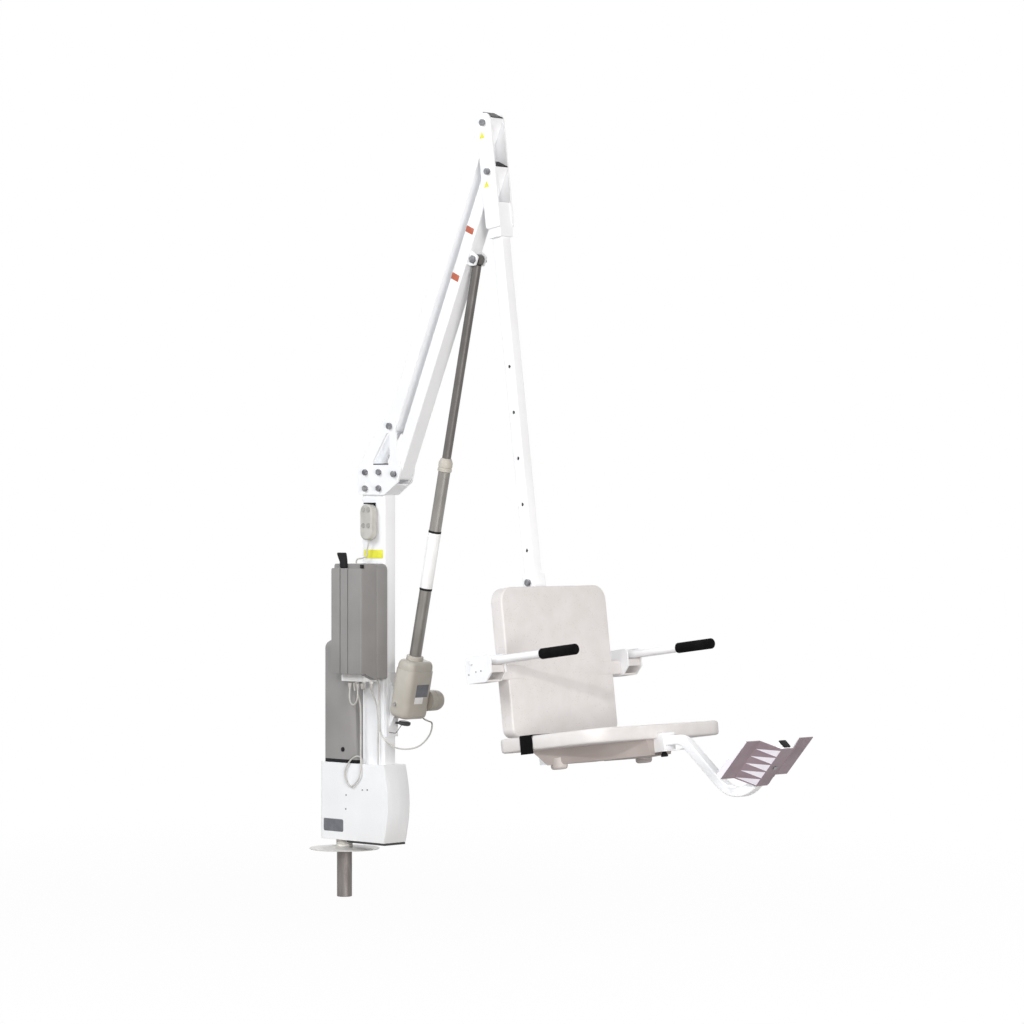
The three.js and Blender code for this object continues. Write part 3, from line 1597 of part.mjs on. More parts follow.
const base = group(atOrigin, 0, [
  meshOf("lower_bushing", bushing(false), bronze),
  meshOf("upper_bushing", bushing(true), bronze),
  meshOf("base_frame", baseFrame(), whitePaint),
  meshOf("base_plate", basePlate(), darkPaint),
  meshOf("base_cover", baseCover(), whitePaint),
  meshOf("base_front_cover", baseFrontCover(), whitePaint),
  meshOf("swivel_gearmotor", swivelGearmotor(), bareSteel),
  meshOf("drive_pinion", drivePinion(), bareSteel),
  meshOf("motor_cover", motorCover(), greyPlastic),
  meshOf("cover_seal", coverSeal(), blackPlastic),
]);

const mast = group(atOrigin, 0, [
  meshOf("mast_tube", mastTube(), whitePaint),
  meshOf("arm_bracket", armBracket(), whitePaint),
  meshOf("lower_pivot_bolt", pivotAt(lowerKnee), bareSteel),
  meshOf("upper_pivot_bolt", pivotAt(upperKnee), bareSteel),
  meshOf("actuator_bracket", actuatorBracket(), whitePaint),
  meshOf("actuator_pin", actuatorPin(), bareSteel),
  meshOf("pin_lanyard", cord(lanyardRoute, lanyardRadius, lanyardSteps), darkPaint),
  meshOf("control_box", controlBox(), greyPlastic),
  meshOf("connector_strip", connectorStrip(), palePlastic),
  meshOf("battery_pack", batteryPack(), greyPlastic),
  meshOf("battery_lever", batteryLever(), blackPlastic),
  meshOf("handset_hook", handsetHook(), blackPlastic),
  meshOf("hand_control", handControl(), greyPlastic),
  ...buttonPlaces.map((place, k) => meshOf(`push_button_${k + 1}`, pushButton(place), darkPaint)),
  meshOf("handset_cable", cord(handsetRoute, cordRadius, handsetSteps), cordJacket),
  meshOf("motor_cable", cord(motorRoute, cordRadius, motorSteps), cordJacket),
  meshOf("swivel_cable", cord(swivelRoute, cordRadius, swivelSteps), cordJacket),
  meshOf("base_lead", cord(leadRoute, cordRadius, leadSteps), cordJacket),
]);

const arms = [["lower", lowerKnee, lowerArm], ["upper", upperKnee, armTube]].map(
  ([name, knee, build]) => group(knee, armElevationDeg, [
    meshOf(`${name}_arm`, build(), whitePaint),
    meshOf(`${name}_arm_cap`, armCap(), blackPlastic),
  ]),
);

const actuator = group(actuatorFoot, actuatorDeg, [
  meshOf("actuator_housing", actuatorHousing(), beigePlastic),
  meshOf("actuator_motor", actuatorMotor(), beigePlastic),
  meshOf("actuator_tube", actuatorTube(), bareSteel),
  meshOf("actuator_collar", actuatorCollar(), beigePlastic),
  meshOf("actuator_rod", actuatorRod(), bareSteel),
]);

const plateHolder = group(
  new THREE.Vector3(footplateForward, 0, footplateHeight), footplateDeg,
  [meshOf("footrest_plate", footrestPlate(), footPaint)],
);

const hanger = group(seatOrigin, tiltDeg, [
  meshOf("hanger_head", hangerHead(), whitePaint),
  meshOf("hanger_lower_bolt", pivotBolt().translate([0, 0, lowerPivotHeight]), bareSteel),
  meshOf("hanger_upper_bolt", pivotBolt().translate([0, 0, upperPivotHeight]), bareSteel),
  meshOf("hanger_tube", hangerTube(), whitePaint),
  meshOf("adjusting_pin", adjustingPin(), bareSteel),
  meshOf("seat_frame", seatFrame(), whitePaint),
  meshOf("backrest", backrest(), shellPlastic),
  meshOf("seat_pan", seatPan(), shellPlastic),
  meshOf("seat_belt", seatBelt(), webbing),
  ...[["left", 1], ["right", -1]].flatMap(([name, side]) => [
    meshOf(`armrest_${name}`, armrestTube(side), whitePaint),
    meshOf(`armrest_grip_${name}`, armrestGrip(side), gripFoam),
  ]),
  meshOf("footrest_bar", footrestBar(), whitePaint),
  meshOf("clamp_knob", clampKnob(), blackPlastic),
  plateHolder,
]);

const lift = new THREE.Group();
lift.add(anchor, base, mast, ...arms, actuator, hanger);

export default lift;
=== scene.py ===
import json
import math

import bmesh
import bpy
import numpy as np
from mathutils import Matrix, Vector


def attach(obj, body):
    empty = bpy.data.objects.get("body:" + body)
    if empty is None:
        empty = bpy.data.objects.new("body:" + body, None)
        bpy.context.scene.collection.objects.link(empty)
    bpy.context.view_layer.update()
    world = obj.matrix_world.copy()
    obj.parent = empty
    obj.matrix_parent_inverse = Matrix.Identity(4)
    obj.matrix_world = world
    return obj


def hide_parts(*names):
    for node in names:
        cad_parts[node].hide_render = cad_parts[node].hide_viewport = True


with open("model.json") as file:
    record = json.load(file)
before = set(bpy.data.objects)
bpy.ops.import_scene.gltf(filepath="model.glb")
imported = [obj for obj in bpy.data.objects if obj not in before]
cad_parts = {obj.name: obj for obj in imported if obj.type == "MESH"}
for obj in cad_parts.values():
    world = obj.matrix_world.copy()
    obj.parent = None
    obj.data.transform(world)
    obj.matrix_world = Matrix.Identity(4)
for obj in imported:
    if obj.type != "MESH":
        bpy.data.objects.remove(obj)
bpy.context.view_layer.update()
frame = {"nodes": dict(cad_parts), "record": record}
scene = bpy.context.scene
nodes = frame["nodes"]
bodyGroups = frame["record"]["behaviour"]["bodies"]
nodeBody = {node: body for body, members in bodyGroups.items() for node in members}
nodeSlot = {row["node"]: row["material_slot"] for row in frame["record"]["subparts"]}
mm = 0.001
# A turned form that closes on its axis stops this far short of it, in millimetres
pole = 0.01
print("frame loaded,", len(nodes), "nodes")

# Camera, as the photograph was taken: level, with a long lens
photoCamera = {
    "turnDeg": 44.0,
    "distance": 11.2,
    "aside": 0.536,
    "height": 1.0768,
    "focalPixels": 3500.0,
    "imagePixels": 1024.0,
    "sensorWidth": 36.0,
}


def makeCamera(view):
    turn = math.radians(view["turnDeg"])
    right = Vector((math.cos(turn), math.sin(turn), 0))
    back = Vector((math.sin(turn), -math.cos(turn), 0))
    data = bpy.data.cameras.new("photoCamera")
    data.sensor_width = view["sensorWidth"]
    data.lens = view["focalPixels"] / view["imagePixels"] * view["sensorWidth"]
    data.clip_end = 100
    camera = bpy.data.objects.new("photoCamera", data)
    camera.location = right * view["aside"] + back * view["distance"]
    camera.location.z = view["height"]
    camera.rotation_euler = (math.pi / 2, 0, turn)
    scene.collection.objects.link(camera)
    scene.camera = camera


makeCamera(photoCamera)
print("camera placed")


# A tone written as it shows on screen, 0 to 255, turned to the linear value a shader takes
def tone(red, green, blue):
    values = []
    for part in (red, green, blue):
        share = part / 255
        values.append(share / 12.92 if share <= 0.04045 else ((share + 0.055) / 1.055) ** 2.4)
    return (*values, 1.0)


# A label's finish: smooth, in one plain tone
def plainLabel(light, dark, rough, bump=0.03):
    return {
        "light": light, "dark": dark, "cloud": 30,
        "rough": rough, "grain": 900, "bump": bump, "depth": 0.0002,
    }


# One finish: soft clouds between two tones, fine grain, flecks or dust where asked, and a bump
finishes = {
    "powderCoat": {
        "light": (247, 248, 250), "dark": (238, 239, 241), "cloud": 2.6,
        "rough": (0.27, 0.4), "grain": 420, "bump": 0.05, "depth": 0.0004, "coat": 0.12,
    },
    "baseCoat": {
        "light": (247, 248, 250), "dark": (239, 240, 242), "cloud": 4,
        "rough": (0.26, 0.38), "grain": 420, "bump": 0.05, "depth": 0.0004, "coat": 0.12,
        "dust": (0.03, 0.12, (214, 210, 203), 0.35),
    },
    # Painted shade: the disc's white coat is darkened to stand in for the shadow it lies in
    "discShadedCoat": {
        "light": (213, 210, 207), "dark": (202, 199, 196), "cloud": 4,
        "rough": (0.28, 0.4), "grain": 420, "bump": 0.05, "depth": 0.0004,
    },
    "darkCoat": {
        "light": (46, 46, 48), "dark": (28, 28, 30), "cloud": 9,
        "rough": (0.4, 0.6), "grain": 500, "bump": 0.12, "depth": 0.0004,
    },
    "galvanised": {
        "light": (124, 117, 114), "dark": (92, 86, 84), "cloud": 26, "stretch": (1, 1, 0.16),
        "rough": (0.4, 0.6), "grain": 260, "bump": 0.1, "depth": 0.0003, "metal": 0.5,
        "spangle": (90, 0.16),
    },
    "boltSteel": {
        "light": (150, 150, 153), "dark": (98, 98, 102), "cloud": 60,
        "rough": (0.25, 0.45), "grain": 700, "bump": 0.06, "depth": 0.0002, "metal": 0.85,
    },
    "turnedSteel": {
        "light": (186, 186, 188), "dark": (140, 139, 140), "cloud": 40, "stretch": (1, 1, 6),
        "rough": (0.2, 0.36), "grain": 900, "bump": 0.05, "depth": 0.0002, "metal": 0.9,
    },
    "anodised": {
        "light": (148, 145, 141), "dark": (128, 125, 121), "cloud": 5,
        "rough": (0.3, 0.44), "grain": 600, "bump": 0.06, "depth": 0.0002, "metal": 0.55,
        "brush": (220, 0.1),
    },
    "rodAlloy": {
        "light": (106, 103, 101), "dark": (88, 85, 83), "cloud": 6,
        "rough": (0.34, 0.48), "grain": 600, "bump": 0.06, "depth": 0.0002, "metal": 0.4,
        "brush": (260, 0.2),
    },
    "boxPlastic": {
        "light": (148, 146, 145), "dark": (136, 134, 133), "cloud": 5,
        "rough": (0.42, 0.58), "grain": 1100, "bump": 0.22, "depth": 0.0004,
    },
    "coverPlastic": {
        "light": (151, 149, 148), "dark": (136, 134, 133), "cloud": 3.4,
        "rough": (0.38, 0.55), "grain": 900, "bump": 0.2, "depth": 0.0004,
    },
    "handsetPlastic": {
        "light": (200, 198, 193), "dark": (180, 178, 172), "cloud": 16,
        "rough": (0.42, 0.58), "grain": 1200, "bump": 0.16, "depth": 0.0003,
    },
    "buttonRubber": {
        "light": (168, 166, 162), "dark": (146, 144, 140), "cloud": 30,
        "rough": (0.5, 0.65), "grain": 900, "bump": 0.08, "depth": 0.0002,
    },
    "paleNylon": {
        "light": (226, 223, 218), "dark": (206, 203, 198), "cloud": 14,
        "rough": (0.4, 0.55), "grain": 900, "bump": 0.08, "depth": 0.0003,
    },
    "housingPlastic": {
        "light": (191, 186, 177), "dark": (178, 172, 162), "cloud": 9,
        "rough": (0.42, 0.56), "grain": 1100, "bump": 0.16, "depth": 0.0004,
    },
    "blackPlastic": {
        "light": (32, 32, 34), "dark": (20, 20, 22), "cloud": 18,
        "rough": (0.45, 0.6), "grain": 1000, "bump": 0.12, "depth": 0.0003, "shine": 0.14,
    },
    "bronze": {
        "light": (190, 146, 88), "dark": (150, 110, 62), "cloud": 50,
        "rough": (0.28, 0.42), "grain": 700, "bump": 0.05, "depth": 0.0002, "metal": 0.9,
    },
    "shellPlastic": {
        "light": (223, 219, 218), "dark": (217, 213, 211), "cloud": 14,
        "rough": (0.42, 0.6), "grain": 340, "bump": 0.24, "depth": 0.0006,
        "fleck": (170, 0.12, (172, 164, 158), 0.6),
    },
    "panPlastic": {
        "light": (226, 223, 222), "dark": (219, 215, 213), "cloud": 14,
        "rough": (0.4, 0.58), "grain": 340, "bump": 0.24, "depth": 0.0006,
        "fleck": (190, 0.07, (186, 178, 168), 0.45),
    },
    "feetPlastic": {
        "light": (206, 198, 195), "dark": (192, 184, 181), "cloud": 14,
        "rough": (0.45, 0.62), "grain": 340, "bump": 0.2, "depth": 0.0005,
    },
    # Painted shade: the pan's plastic darkened for the wedge under the seat, which lies in shade
    "wedgeShadePlastic": {
        "light": (176, 167, 163), "dark": (158, 148, 144), "cloud": 4.5,
        "rough": (0.45, 0.62), "grain": 340, "bump": 0.24, "depth": 0.0006,
    },
    # Painted shade: the lilac foot paint darkened for the faces turned away from the light
    "footPaint": {
        "light": (150, 134, 142), "dark": (132, 116, 123), "cloud": 9,
        "rough": (0.36, 0.5), "grain": 420, "bump": 0.08, "depth": 0.0004, "shine": 0.35,
    },
    # Painted light: the same lilac paint lightened for the faces turned toward the light
    "footPaintTop": {
        "light": (240, 237, 246), "dark": (226, 222, 236), "cloud": 9,
        "rough": (0.3, 0.44), "grain": 420, "bump": 0.06, "depth": 0.0004,
    },
    "gripFoam": {
        "light": (17, 17, 18), "dark": (8, 8, 9), "cloud": 40,
        "rough": (0.75, 0.95), "grain": 620, "bump": 0.55, "depth": 0.0006, "shine": 0.07,
    },
    "webbing": {
        "light": (12, 12, 13), "dark": (5, 5, 6), "cloud": 60,
        "rough": (0.7, 0.9), "grain": 500, "bump": 0.3, "depth": 0.0004, "weave": 340, "shine": 0.05,
    },
    "cordJacket": {
        "light": (205, 203, 199), "dark": (182, 180, 176), "cloud": 30,
        "rough": (0.4, 0.55), "grain": 900, "bump": 0.05, "depth": 0.0002,
    },
    "plainYellow": plainLabel((232, 230, 74), (218, 215, 58), (0.3, 0.42)),
    "plainOrange": plainLabel((188, 98, 70), (172, 86, 60), (0.3, 0.42)),
    "plainWhite": plainLabel((250, 250, 250), (242, 242, 242), (0.26, 0.36), 0.02),
    "plainGrey": plainLabel((110, 112, 118), (94, 96, 102), (0.26, 0.4)),
}
spangleTone = (210, 208, 205)
brushTone = (84, 82, 80)
brushLeanDeg = -12.7
brushStretch = 0.02
weaveTone = (26, 26, 28)
fleckBlur = 0.12


def addNode(tree, kind, inputs=None, **settings):
    made = tree.nodes.new(kind)
    for key, value in settings.items():
        setattr(made, key, value)
    for key, value in (inputs or {}).items():
        if isinstance(value, bpy.types.NodeSocket):
            tree.links.new(value, made.inputs[key])
        else:
            made.inputs[key].default_value = value
    return made


# Mixes colour b over colour a by a factor
def blendColour(tree, factor, a, b):
    mixed = addNode(tree, "ShaderNodeMix", {0: factor, 6: a, 7: b}, data_type="RGBA")
    return mixed.outputs[2]


def stretched(tree, socket, fromLow, fromHigh, toLow, toHigh):
    return addNode(tree, "ShaderNodeMapRange", {
        "Value": socket, "From Min": fromLow, "From Max": fromHigh, "To Min": toLow, "To Max": toHigh,
    }).outputs["Result"]


def noiseOn(tree, vector, scale, detail=3.0, roughness=0.55):
    return addNode(tree, "ShaderNodeTexNoise", {
        "Vector": vector, "Scale": scale, "Detail": detail, "Roughness": roughness,
    }).outputs[0]


def makeFinish(name, spec):
    material = bpy.data.materials.new(name)
    material.use_nodes = True
    tree = material.node_tree
    tree.nodes.clear()
    place = addNode(tree, "ShaderNodeTexCoord").outputs["Object"]
    slanted = addNode(tree, "ShaderNodeMapping", {
        "Vector": place, "Scale": spec.get("stretch", (1, 1, 1)),
    }).outputs["Vector"]
    clouds = noiseOn(tree, slanted, spec["cloud"])
    grain = noiseOn(tree, place, spec["grain"], 2.0)
    colour = blendColour(
        tree, stretched(tree, clouds, 0.35, 0.65, 0, 1), tone(*spec["dark"]), tone(*spec["light"]),
    )
    height = grain
    if "spangle" in spec:
        scale, share = spec["spangle"]
        cells = addNode(tree, "ShaderNodeTexVoronoi", {"Vector": slanted, "Scale": scale})
        factor = stretched(tree, cells.outputs["Color"], 0, 1, 0, share)
        colour = blendColour(tree, factor, colour, tone(*spangleTone))
    if "brush" in spec:
        scale, share = spec["brush"]
        lines = addNode(tree, "ShaderNodeMapping", {
            "Vector": place, "Rotation": (0, math.radians(brushLeanDeg), 0),
            "Scale": (1, 1, brushStretch),
        }).outputs["Vector"]
        factor = stretched(tree, noiseOn(tree, lines, scale), 0.4, 0.6, 0, share)
        colour = blendColour(tree, factor, colour, tone(*brushTone))
    if "fleck" in spec:
        scale, size, fleckTone, share = spec["fleck"]
        spots = addNode(tree, "ShaderNodeTexVoronoi", {"Vector": place, "Scale": scale})
        factor = stretched(tree, spots.outputs["Distance"], size, size + fleckBlur, share, 0)
        thinned = stretched(tree, noiseOn(tree, place, scale * 0.21), 0.48, 0.56, 0, 1)
        factor = addNode(
            tree, "ShaderNodeMath", {0: factor, 1: thinned}, operation="MULTIPLY",
        ).outputs[0]
        colour = blendColour(tree, factor, colour, tone(*fleckTone))
    if "weave" in spec:
        across = addNode(tree, "ShaderNodeTexWave", {
            "Vector": place, "Scale": spec["weave"], "Distortion": 0.4,
        }, bands_direction="DIAGONAL").outputs["Fac"]
        colour = blendColour(
            tree, stretched(tree, across, 0.3, 0.8, 0, 0.5), colour, tone(*weaveTone),
        )
        height = addNode(
            tree, "ShaderNodeMath", {0: grain, 1: across}, operation="ADD",
        ).outputs[0]
    if "dust" in spec:
        low, high, dustTone, share = spec["dust"]
        rise = addNode(tree, "ShaderNodeSeparateXYZ", {"Vector": place}).outputs["Z"]
        factor = addNode(tree, "ShaderNodeMath", {
            0: stretched(tree, rise, low, high, share, 0), 1: clouds,
        }, operation="MULTIPLY").outputs[0]
        colour = blendColour(tree, factor, colour, tone(*dustTone))
    rough = stretched(tree, grain, 0.3, 0.7, *spec["rough"])
    bump = addNode(tree, "ShaderNodeBump", {
        "Strength": spec["bump"], "Distance": spec["depth"], "Height": height,
    }).outputs["Normal"]
    shader = addNode(tree, "ShaderNodeBsdfPrincipled", {
        "Base Color": colour, "Roughness": rough, "Normal": bump,
        "Metallic": spec.get("metal", 0.0), "Coat Weight": spec.get("coat", 0.0),
        "Specular IOR Level": spec.get("shine", 0.5),
    })
    out = addNode(tree, "ShaderNodeOutputMaterial")
    tree.links.new(shader.outputs["BSDF"], out.inputs["Surface"])
    return material


materials = {name: makeFinish(name, spec) for name, spec in finishes.items()}
slotFinish = {
    "white_paint": "powderCoat", "dark_paint": "darkCoat", "galvanised": "galvanised",
    "bare_steel": "boltSteel", "grey_plastic": "boxPlastic", "pale_plastic": "paleNylon",
    "beige_plastic": "housingPlastic", "black_plastic": "blackPlastic", "bronze": "bronze",
    "shell_plastic": "shellPlastic", "foot_paint": "footPaint", "grip_foam": "gripFoam",
    "webbing": "webbing", "cord_jacket": "cordJacket",
}
nodeFinish = {
    "base_cover": "baseCoat", "base_front_cover": "baseCoat", "deck_flange": "discShadedCoat",
    "motor_cover": "coverPlastic", "hand_control": "handsetPlastic", "seat_pan": "panPlastic",
    "fixed_gear": "turnedSteel", "drive_pinion": "turnedSteel", "actuator_rod": "rodAlloy",
    "actuator_tube": "anodised", "connector_strip": "plainWhite", "actuator_pin": "turnedSteel",
}
pushButtons = ["push_button_" + str(k) for k in range(1, 5)]
nodeFinish.update(dict.fromkeys(pushButtons, "buttonRubber"))


def finishOf(node):
    return materials[nodeFinish.get(node, slotFinish[nodeSlot[node]])]


for name, item in nodes.items():
    item.data.materials.clear()
    item.data.materials.append(finishOf(name))
print("finishes made,", len(materials))


# Tells the frame which body a new piece moves with and which solids it stands for
def settle(piece, body, standsFor=()):
    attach(piece, body)
    if standsFor:
        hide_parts(*standsFor)
    return piece


def linkMesh(name, mesh, material):
    piece = bpy.data.objects.new(name, mesh)
    mesh.materials.append(material)
    scene.collection.objects.link(piece)
    return piece


# Turns a mesh built by arrays into a clean one: doubles merged, normals out, curved parts smooth
def cleaned(mesh, creaseDeg=35.0):
    work = bmesh.new()
    work.from_mesh(mesh)
    bmesh.ops.remove_doubles(work, verts=work.verts, dist=1e-6)
    bmesh.ops.recalc_face_normals(work, faces=work.faces)
    work.to_mesh(mesh)
    work.free()
    mesh.shade_smooth()
    mesh.set_sharp_from_angle(angle=math.radians(creaseDeg))
    return mesh


# Skin over rings: rings[i, j] is point j of ring i; neighbours join in quads, the ends are closed
def skin(rings, closed=True, capped=True):
    rows, count = rings.shape[:2]
    index = np.arange(rows * count).reshape(rows, count)
    after = np.roll(index, -1, axis=1)
    if not closed:
        index, after = index[:, :-1], after[:, :-1]
    quads = np.stack([index[:-1], after[:-1], after[1:], index[1:]], axis=-1).reshape(-1, 4)
    faces = quads.tolist()
    if capped:
        faces.append(list(range(count))[::-1])
        faces.append(list(range((rows - 1) * count, rows * count)))
    return rings.reshape(-1, 3), faces


def meshFrom(name, parts, creaseDeg=35.0):
    points, faces, start = [], [], 0
    for verts, polygons in parts:
        points.append(verts)
        faces.extend([[k + start for k in polygon] for polygon in polygons])
        start += len(verts)
    mesh = bpy.data.meshes.new(name)
    mesh.from_pydata(np.concatenate(points).tolist(), [], faces)
    mesh.update()
    return cleaned(mesh, creaseDeg)


# A mesh made of parts, shown in its finish and moving with its body
def showForm(name, parts, finish, body, standsFor=(), creaseDeg=35.0):
    mesh = meshFrom(name, parts, creaseDeg)
    return settle(linkMesh(name, mesh, materials[finish]), body, standsFor)


# Two directions square to an axis and to each other
def squareTo(axis):
    axis = np.asarray(axis, float) / np.linalg.norm(axis)
    seed = np.array([0.0, 1.0, 0.0]) if abs(axis[1]) < 0.9 else np.array([1.0, 0.0, 0.0])
    first = np.cross(seed, axis)
    first /= np.linalg.norm(first)
    return axis, first, np.cross(axis, first)


# Turned form: radius r at distance h along the axis, carried round by the sine and cosine.
# A lobed form swells its radius by a cosine of so many turns
def turned(centre, axis, profile, sides=72, lobes=0, lobeShare=0.0):
    axis, first, second = squareTo(axis)
    profile = np.asarray(profile, float)
    angle = np.linspace(0, 2 * np.pi, sides, endpoint=False)
    swell = 1 + lobeShare * np.cos(lobes * angle)
    spoke = first[None] * np.cos(angle)[:, None] + second[None] * np.sin(angle)[:, None]
    spoke = spoke * swell[:, None]
    rings = (
        np.asarray(centre, float)[None, None]
        + profile[:, 1][:, None, None] * axis[None, None]
        + profile[:, 0][:, None, None] * spoke[None]
    )
    closedLoop = bool(np.allclose(profile[0], profile[-1]))
    return skin(rings, capped=not closedLoop)


# Rounded rectangle as points and outward normals: quarter circles joined by its sides
def roundedOutline(halfWidth, halfHeight, radius, steps=10, footRadius=None):
    turn = np.linspace(0, np.pi / 2, steps)
    points, normals = [], []
    for k, (sx, sy) in enumerate([(1, 1), (-1, 1), (-1, -1), (1, -1)]):
        angle = turn + k * np.pi / 2
        normal = np.stack([np.cos(angle), np.sin(angle)], axis=-1)
        corner = radius if sy > 0 or footRadius is None else footRadius
        centre = np.array([sx * (halfWidth - corner), sy * (halfHeight - corner)])
        points.append(centre + corner * normal)
        normals.append(normal)
    return np.concatenate(points), np.concatenate(normals)


# Slab: the outline is drawn in by an inset and lifted by a height, row by row
def slab(origin, across, up, outward, outline, rows):
    points, normals = outline
    rows = np.asarray(rows, float)
    flat = points[None] - rows[:, 0][:, None, None] * normals[None]
    rings = (
        np.asarray(origin, float)[None, None]
        + flat[..., :1] * np.asarray(across, float)
        + flat[..., 1:] * np.asarray(up, float)
        + rows[:, 1][:, None, None] * np.asarray(outward, float)
    )
    return skin(rings)


# Edge rounding as rows of inset and height: a quarter circle at the foot and one at the top
def roundedRows(foot, top, edge, steps=5):
    turn = np.linspace(0, np.pi / 2, steps)
    low = np.stack([edge * (1 - np.sin(turn)), foot + edge * (1 - np.cos(turn))], axis=-1)
    high = np.stack([edge * (1 - np.cos(turn)), top - edge * (1 - np.sin(turn))], axis=-1)
    return np.concatenate([low, high])


# Sweep: a flat section carried along a path in the XZ plane, square to its direction
def swept(path, outline):
    points = outline[0]
    ahead = np.gradient(path, axis=0)
    ahead /= np.linalg.norm(ahead, axis=1)[:, None]
    normal = np.stack([-ahead[:, 1], ahead[:, 0]], axis=-1)
    flat = path[:, None, :] + points[None, :, 1:] * normal[:, None, :]
    side = np.broadcast_to(points[None, :, 0], flat.shape[:2])
    return skin(np.stack([flat[..., 0], side, flat[..., 1]], axis=-1))


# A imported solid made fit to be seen: doubles merged, flat faces whole, edges eased, curves smooth
def dress(node, edge=0.7, creaseDeg=35.0):
    mesh = nodes[node].data.copy()
    mesh.materials.clear()
    work = bmesh.new()
    work.from_mesh(mesh)
    bmesh.ops.remove_doubles(work, verts=work.verts, dist=2e-6)
    bmesh.ops.dissolve_limit(
        work, angle_limit=math.radians(0.4), verts=work.verts, edges=work.edges,
    )
    work.to_mesh(mesh)
    work.free()
    mesh.shade_smooth()
    mesh.set_sharp_from_angle(angle=math.radians(creaseDeg))
    name = "".join(word.capitalize() for word in node.split("_"))
    piece = linkMesh(name[0].lower() + name[1:] + "Form", mesh, finishOf(node))
    if edge:
        eased = piece.modifiers.new("easedEdges", "BEVEL")
        eased.width = edge * mm
        eased.segments = 2
        eased.limit_method = "ANGLE"
        eased.angle_limit = math.radians(creaseDeg)
        eased.harden_normals = True
    return settle(piece, nodeBody[node], [node])


# Cords first: each follows its own route from plug to plug, points in millimetres
cords = {
    "handsetLead": {
        "node": "handset_cable", "diameter": 5.0, "stiffness": "limp",
        "route": [
            (155.2, -41.6, 987.6), (153, -41.6, 972), (147, -41, 954), (147.6, -42, 939),
            (136, -49, 931), (121, -57, 928), (116, -58, 921), (116, -58, 914.4),
        ],
    },
    "motorLead": {
        "node": "motor_cable", "diameter": 5.0, "stiffness": "medium",
        "route": [
            (212, -50, 552.2), (212, -50, 520), (212, -54, 440), (232, -60, 378), (290, -50, 338),
            (335, -5, 340), (344, 42, 376), (328, 69, 412), (307, 75, 417), (287, 75, 423),
            (273, 75, 436), (268.2, 75, 450), (268.5, 75, 462.1), (270.4, 75, 469.6),
            (275.7, 75, 474.5), (283.6, 75, 476.2),
        ],
    },
    "swivelLead": {
        "node": "swivel_cable", "diameter": 5.0, "stiffness": "limp",
        "route": [
            (110.8, -51, 535.6), (112, -50, 510), (121, -46, 470), (121, -43, 380),
            (125, -47, 310), (132, -53.5, 268), (128, -54.5, 240), (114, -54.5, 222),
            (91, -55, 206), (68, -54.5, 220), (60, -54, 250), (74, -54, 278), (95, -53, 297),
            (112, -48, 303), (121, -40, 296), (122, -38, 279.4),
        ],
    },
    "baseLead": {
        "node": "base_lead", "diameter": 5.0, "stiffness": "limp",
        "route": [
            (176.9, -51, 535.6), (178, -50, 512), (187, -40, 474), (190.6, -34, 430),
            (190.6, -34, 360), (190.6, -34, 300), (190.6, -34, 279.4),
        ],
    },
    "stripLoop": {
        "diameter": 5.0, "stiffness": "medium",
        "route": [
            (113, -83, 518), (113, -84.5, 492), (119, -85.5, 475), (131, -86, 468), (143, -85.5, 475),
            (149, -84.5, 492), (149, -83, 518),
        ],
    },
}


# Centripetal spline: each span blends its four knots by distances to the power one half
def smoothRoute(route, perSpan=7):
    knots = np.asarray(route, float) * mm
    knots = np.concatenate([
        [2 * knots[0] - knots[1]], knots, [2 * knots[-1] - knots[-2]],
    ])
    out = []
    for a, b, c, d in zip(knots[:-3], knots[1:-2], knots[2:-1], knots[3:]):
        t0 = 0.0
        t1 = t0 + np.linalg.norm(b - a) ** 0.5
        t2 = t1 + np.linalg.norm(c - b) ** 0.5
        t3 = t2 + np.linalg.norm(d - c) ** 0.5
        t = np.linspace(t1, t2, perSpan, endpoint=False)[:, None]
        ab = (t1 - t) / (t1 - t0) * a + (t - t0) / (t1 - t0) * b
        bc = (t2 - t) / (t2 - t1) * b + (t - t1) / (t2 - t1) * c
        cd = (t3 - t) / (t3 - t2) * c + (t - t2) / (t3 - t2) * d
        abc = (t2 - t) / (t2 - t0) * ab + (t - t0) / (t2 - t0) * bc
        bcd = (t3 - t) / (t3 - t1) * bc + (t - t1) / (t3 - t1) * cd
        out.append((t2 - t) / (t2 - t1) * abc + (t - t1) / (t2 - t1) * bcd)
    return np.concatenate([*out, knots[-2:-1]])


def roundLine(name, path, radius, finish):
    data = bpy.data.curves.new(name, "CURVE")
    data.dimensions = "3D"
    line = data.splines.new("POLY")
    line.points.add(len(path) - 1)
    line.points.foreach_set("co", np.c_[path, np.ones(len(path))].ravel())
    data.bevel_depth = radius * mm
    data.bevel_resolution = 3
    data.use_fill_caps = True
    data.materials.append(materials[finish])
    piece = bpy.data.objects.new(name, data)
    scene.collection.objects.link(piece)
    length = float(np.linalg.norm(np.diff(path, axis=0), axis=1).sum())
    return piece, length


def layCord(name, spec):
    path = smoothRoute(spec["route"])
    piece, length = roundLine(name, path, spec["diameter"] / 2, "cordJacket")
    settle(piece, "mast", [spec["node"]] if "node" in spec else [])
    print("cord", name, round(length, 4))


for name, spec in cords.items():
    layCord(name, spec)


# The pin's lanyard: one thin plain wire on a route of its own
lanyard = {
    "route": [
        (276, -14, 407.5), (274, -14.8, 404), (266, -16, 395), (258, -16.5, 386), (253, -17, 381.6),
        (248, -17, 380.9), (238, -16.5, 381.4), (229, -16, 382), (221.5, -15, 382.4),
    ],
    "radius": 1.0, "perSpan": 10,
}


def layLanyard(spec):
    path = smoothRoute(spec["route"], spec["perSpan"])
    piece, length = roundLine("pinLanyardWire", path, spec["radius"], "darkCoat")
    settle(piece, "mast", ["pin_lanyard"])
    print("lanyard", round(length, 4))


layLanyard(lanyard)
print("cords laid")

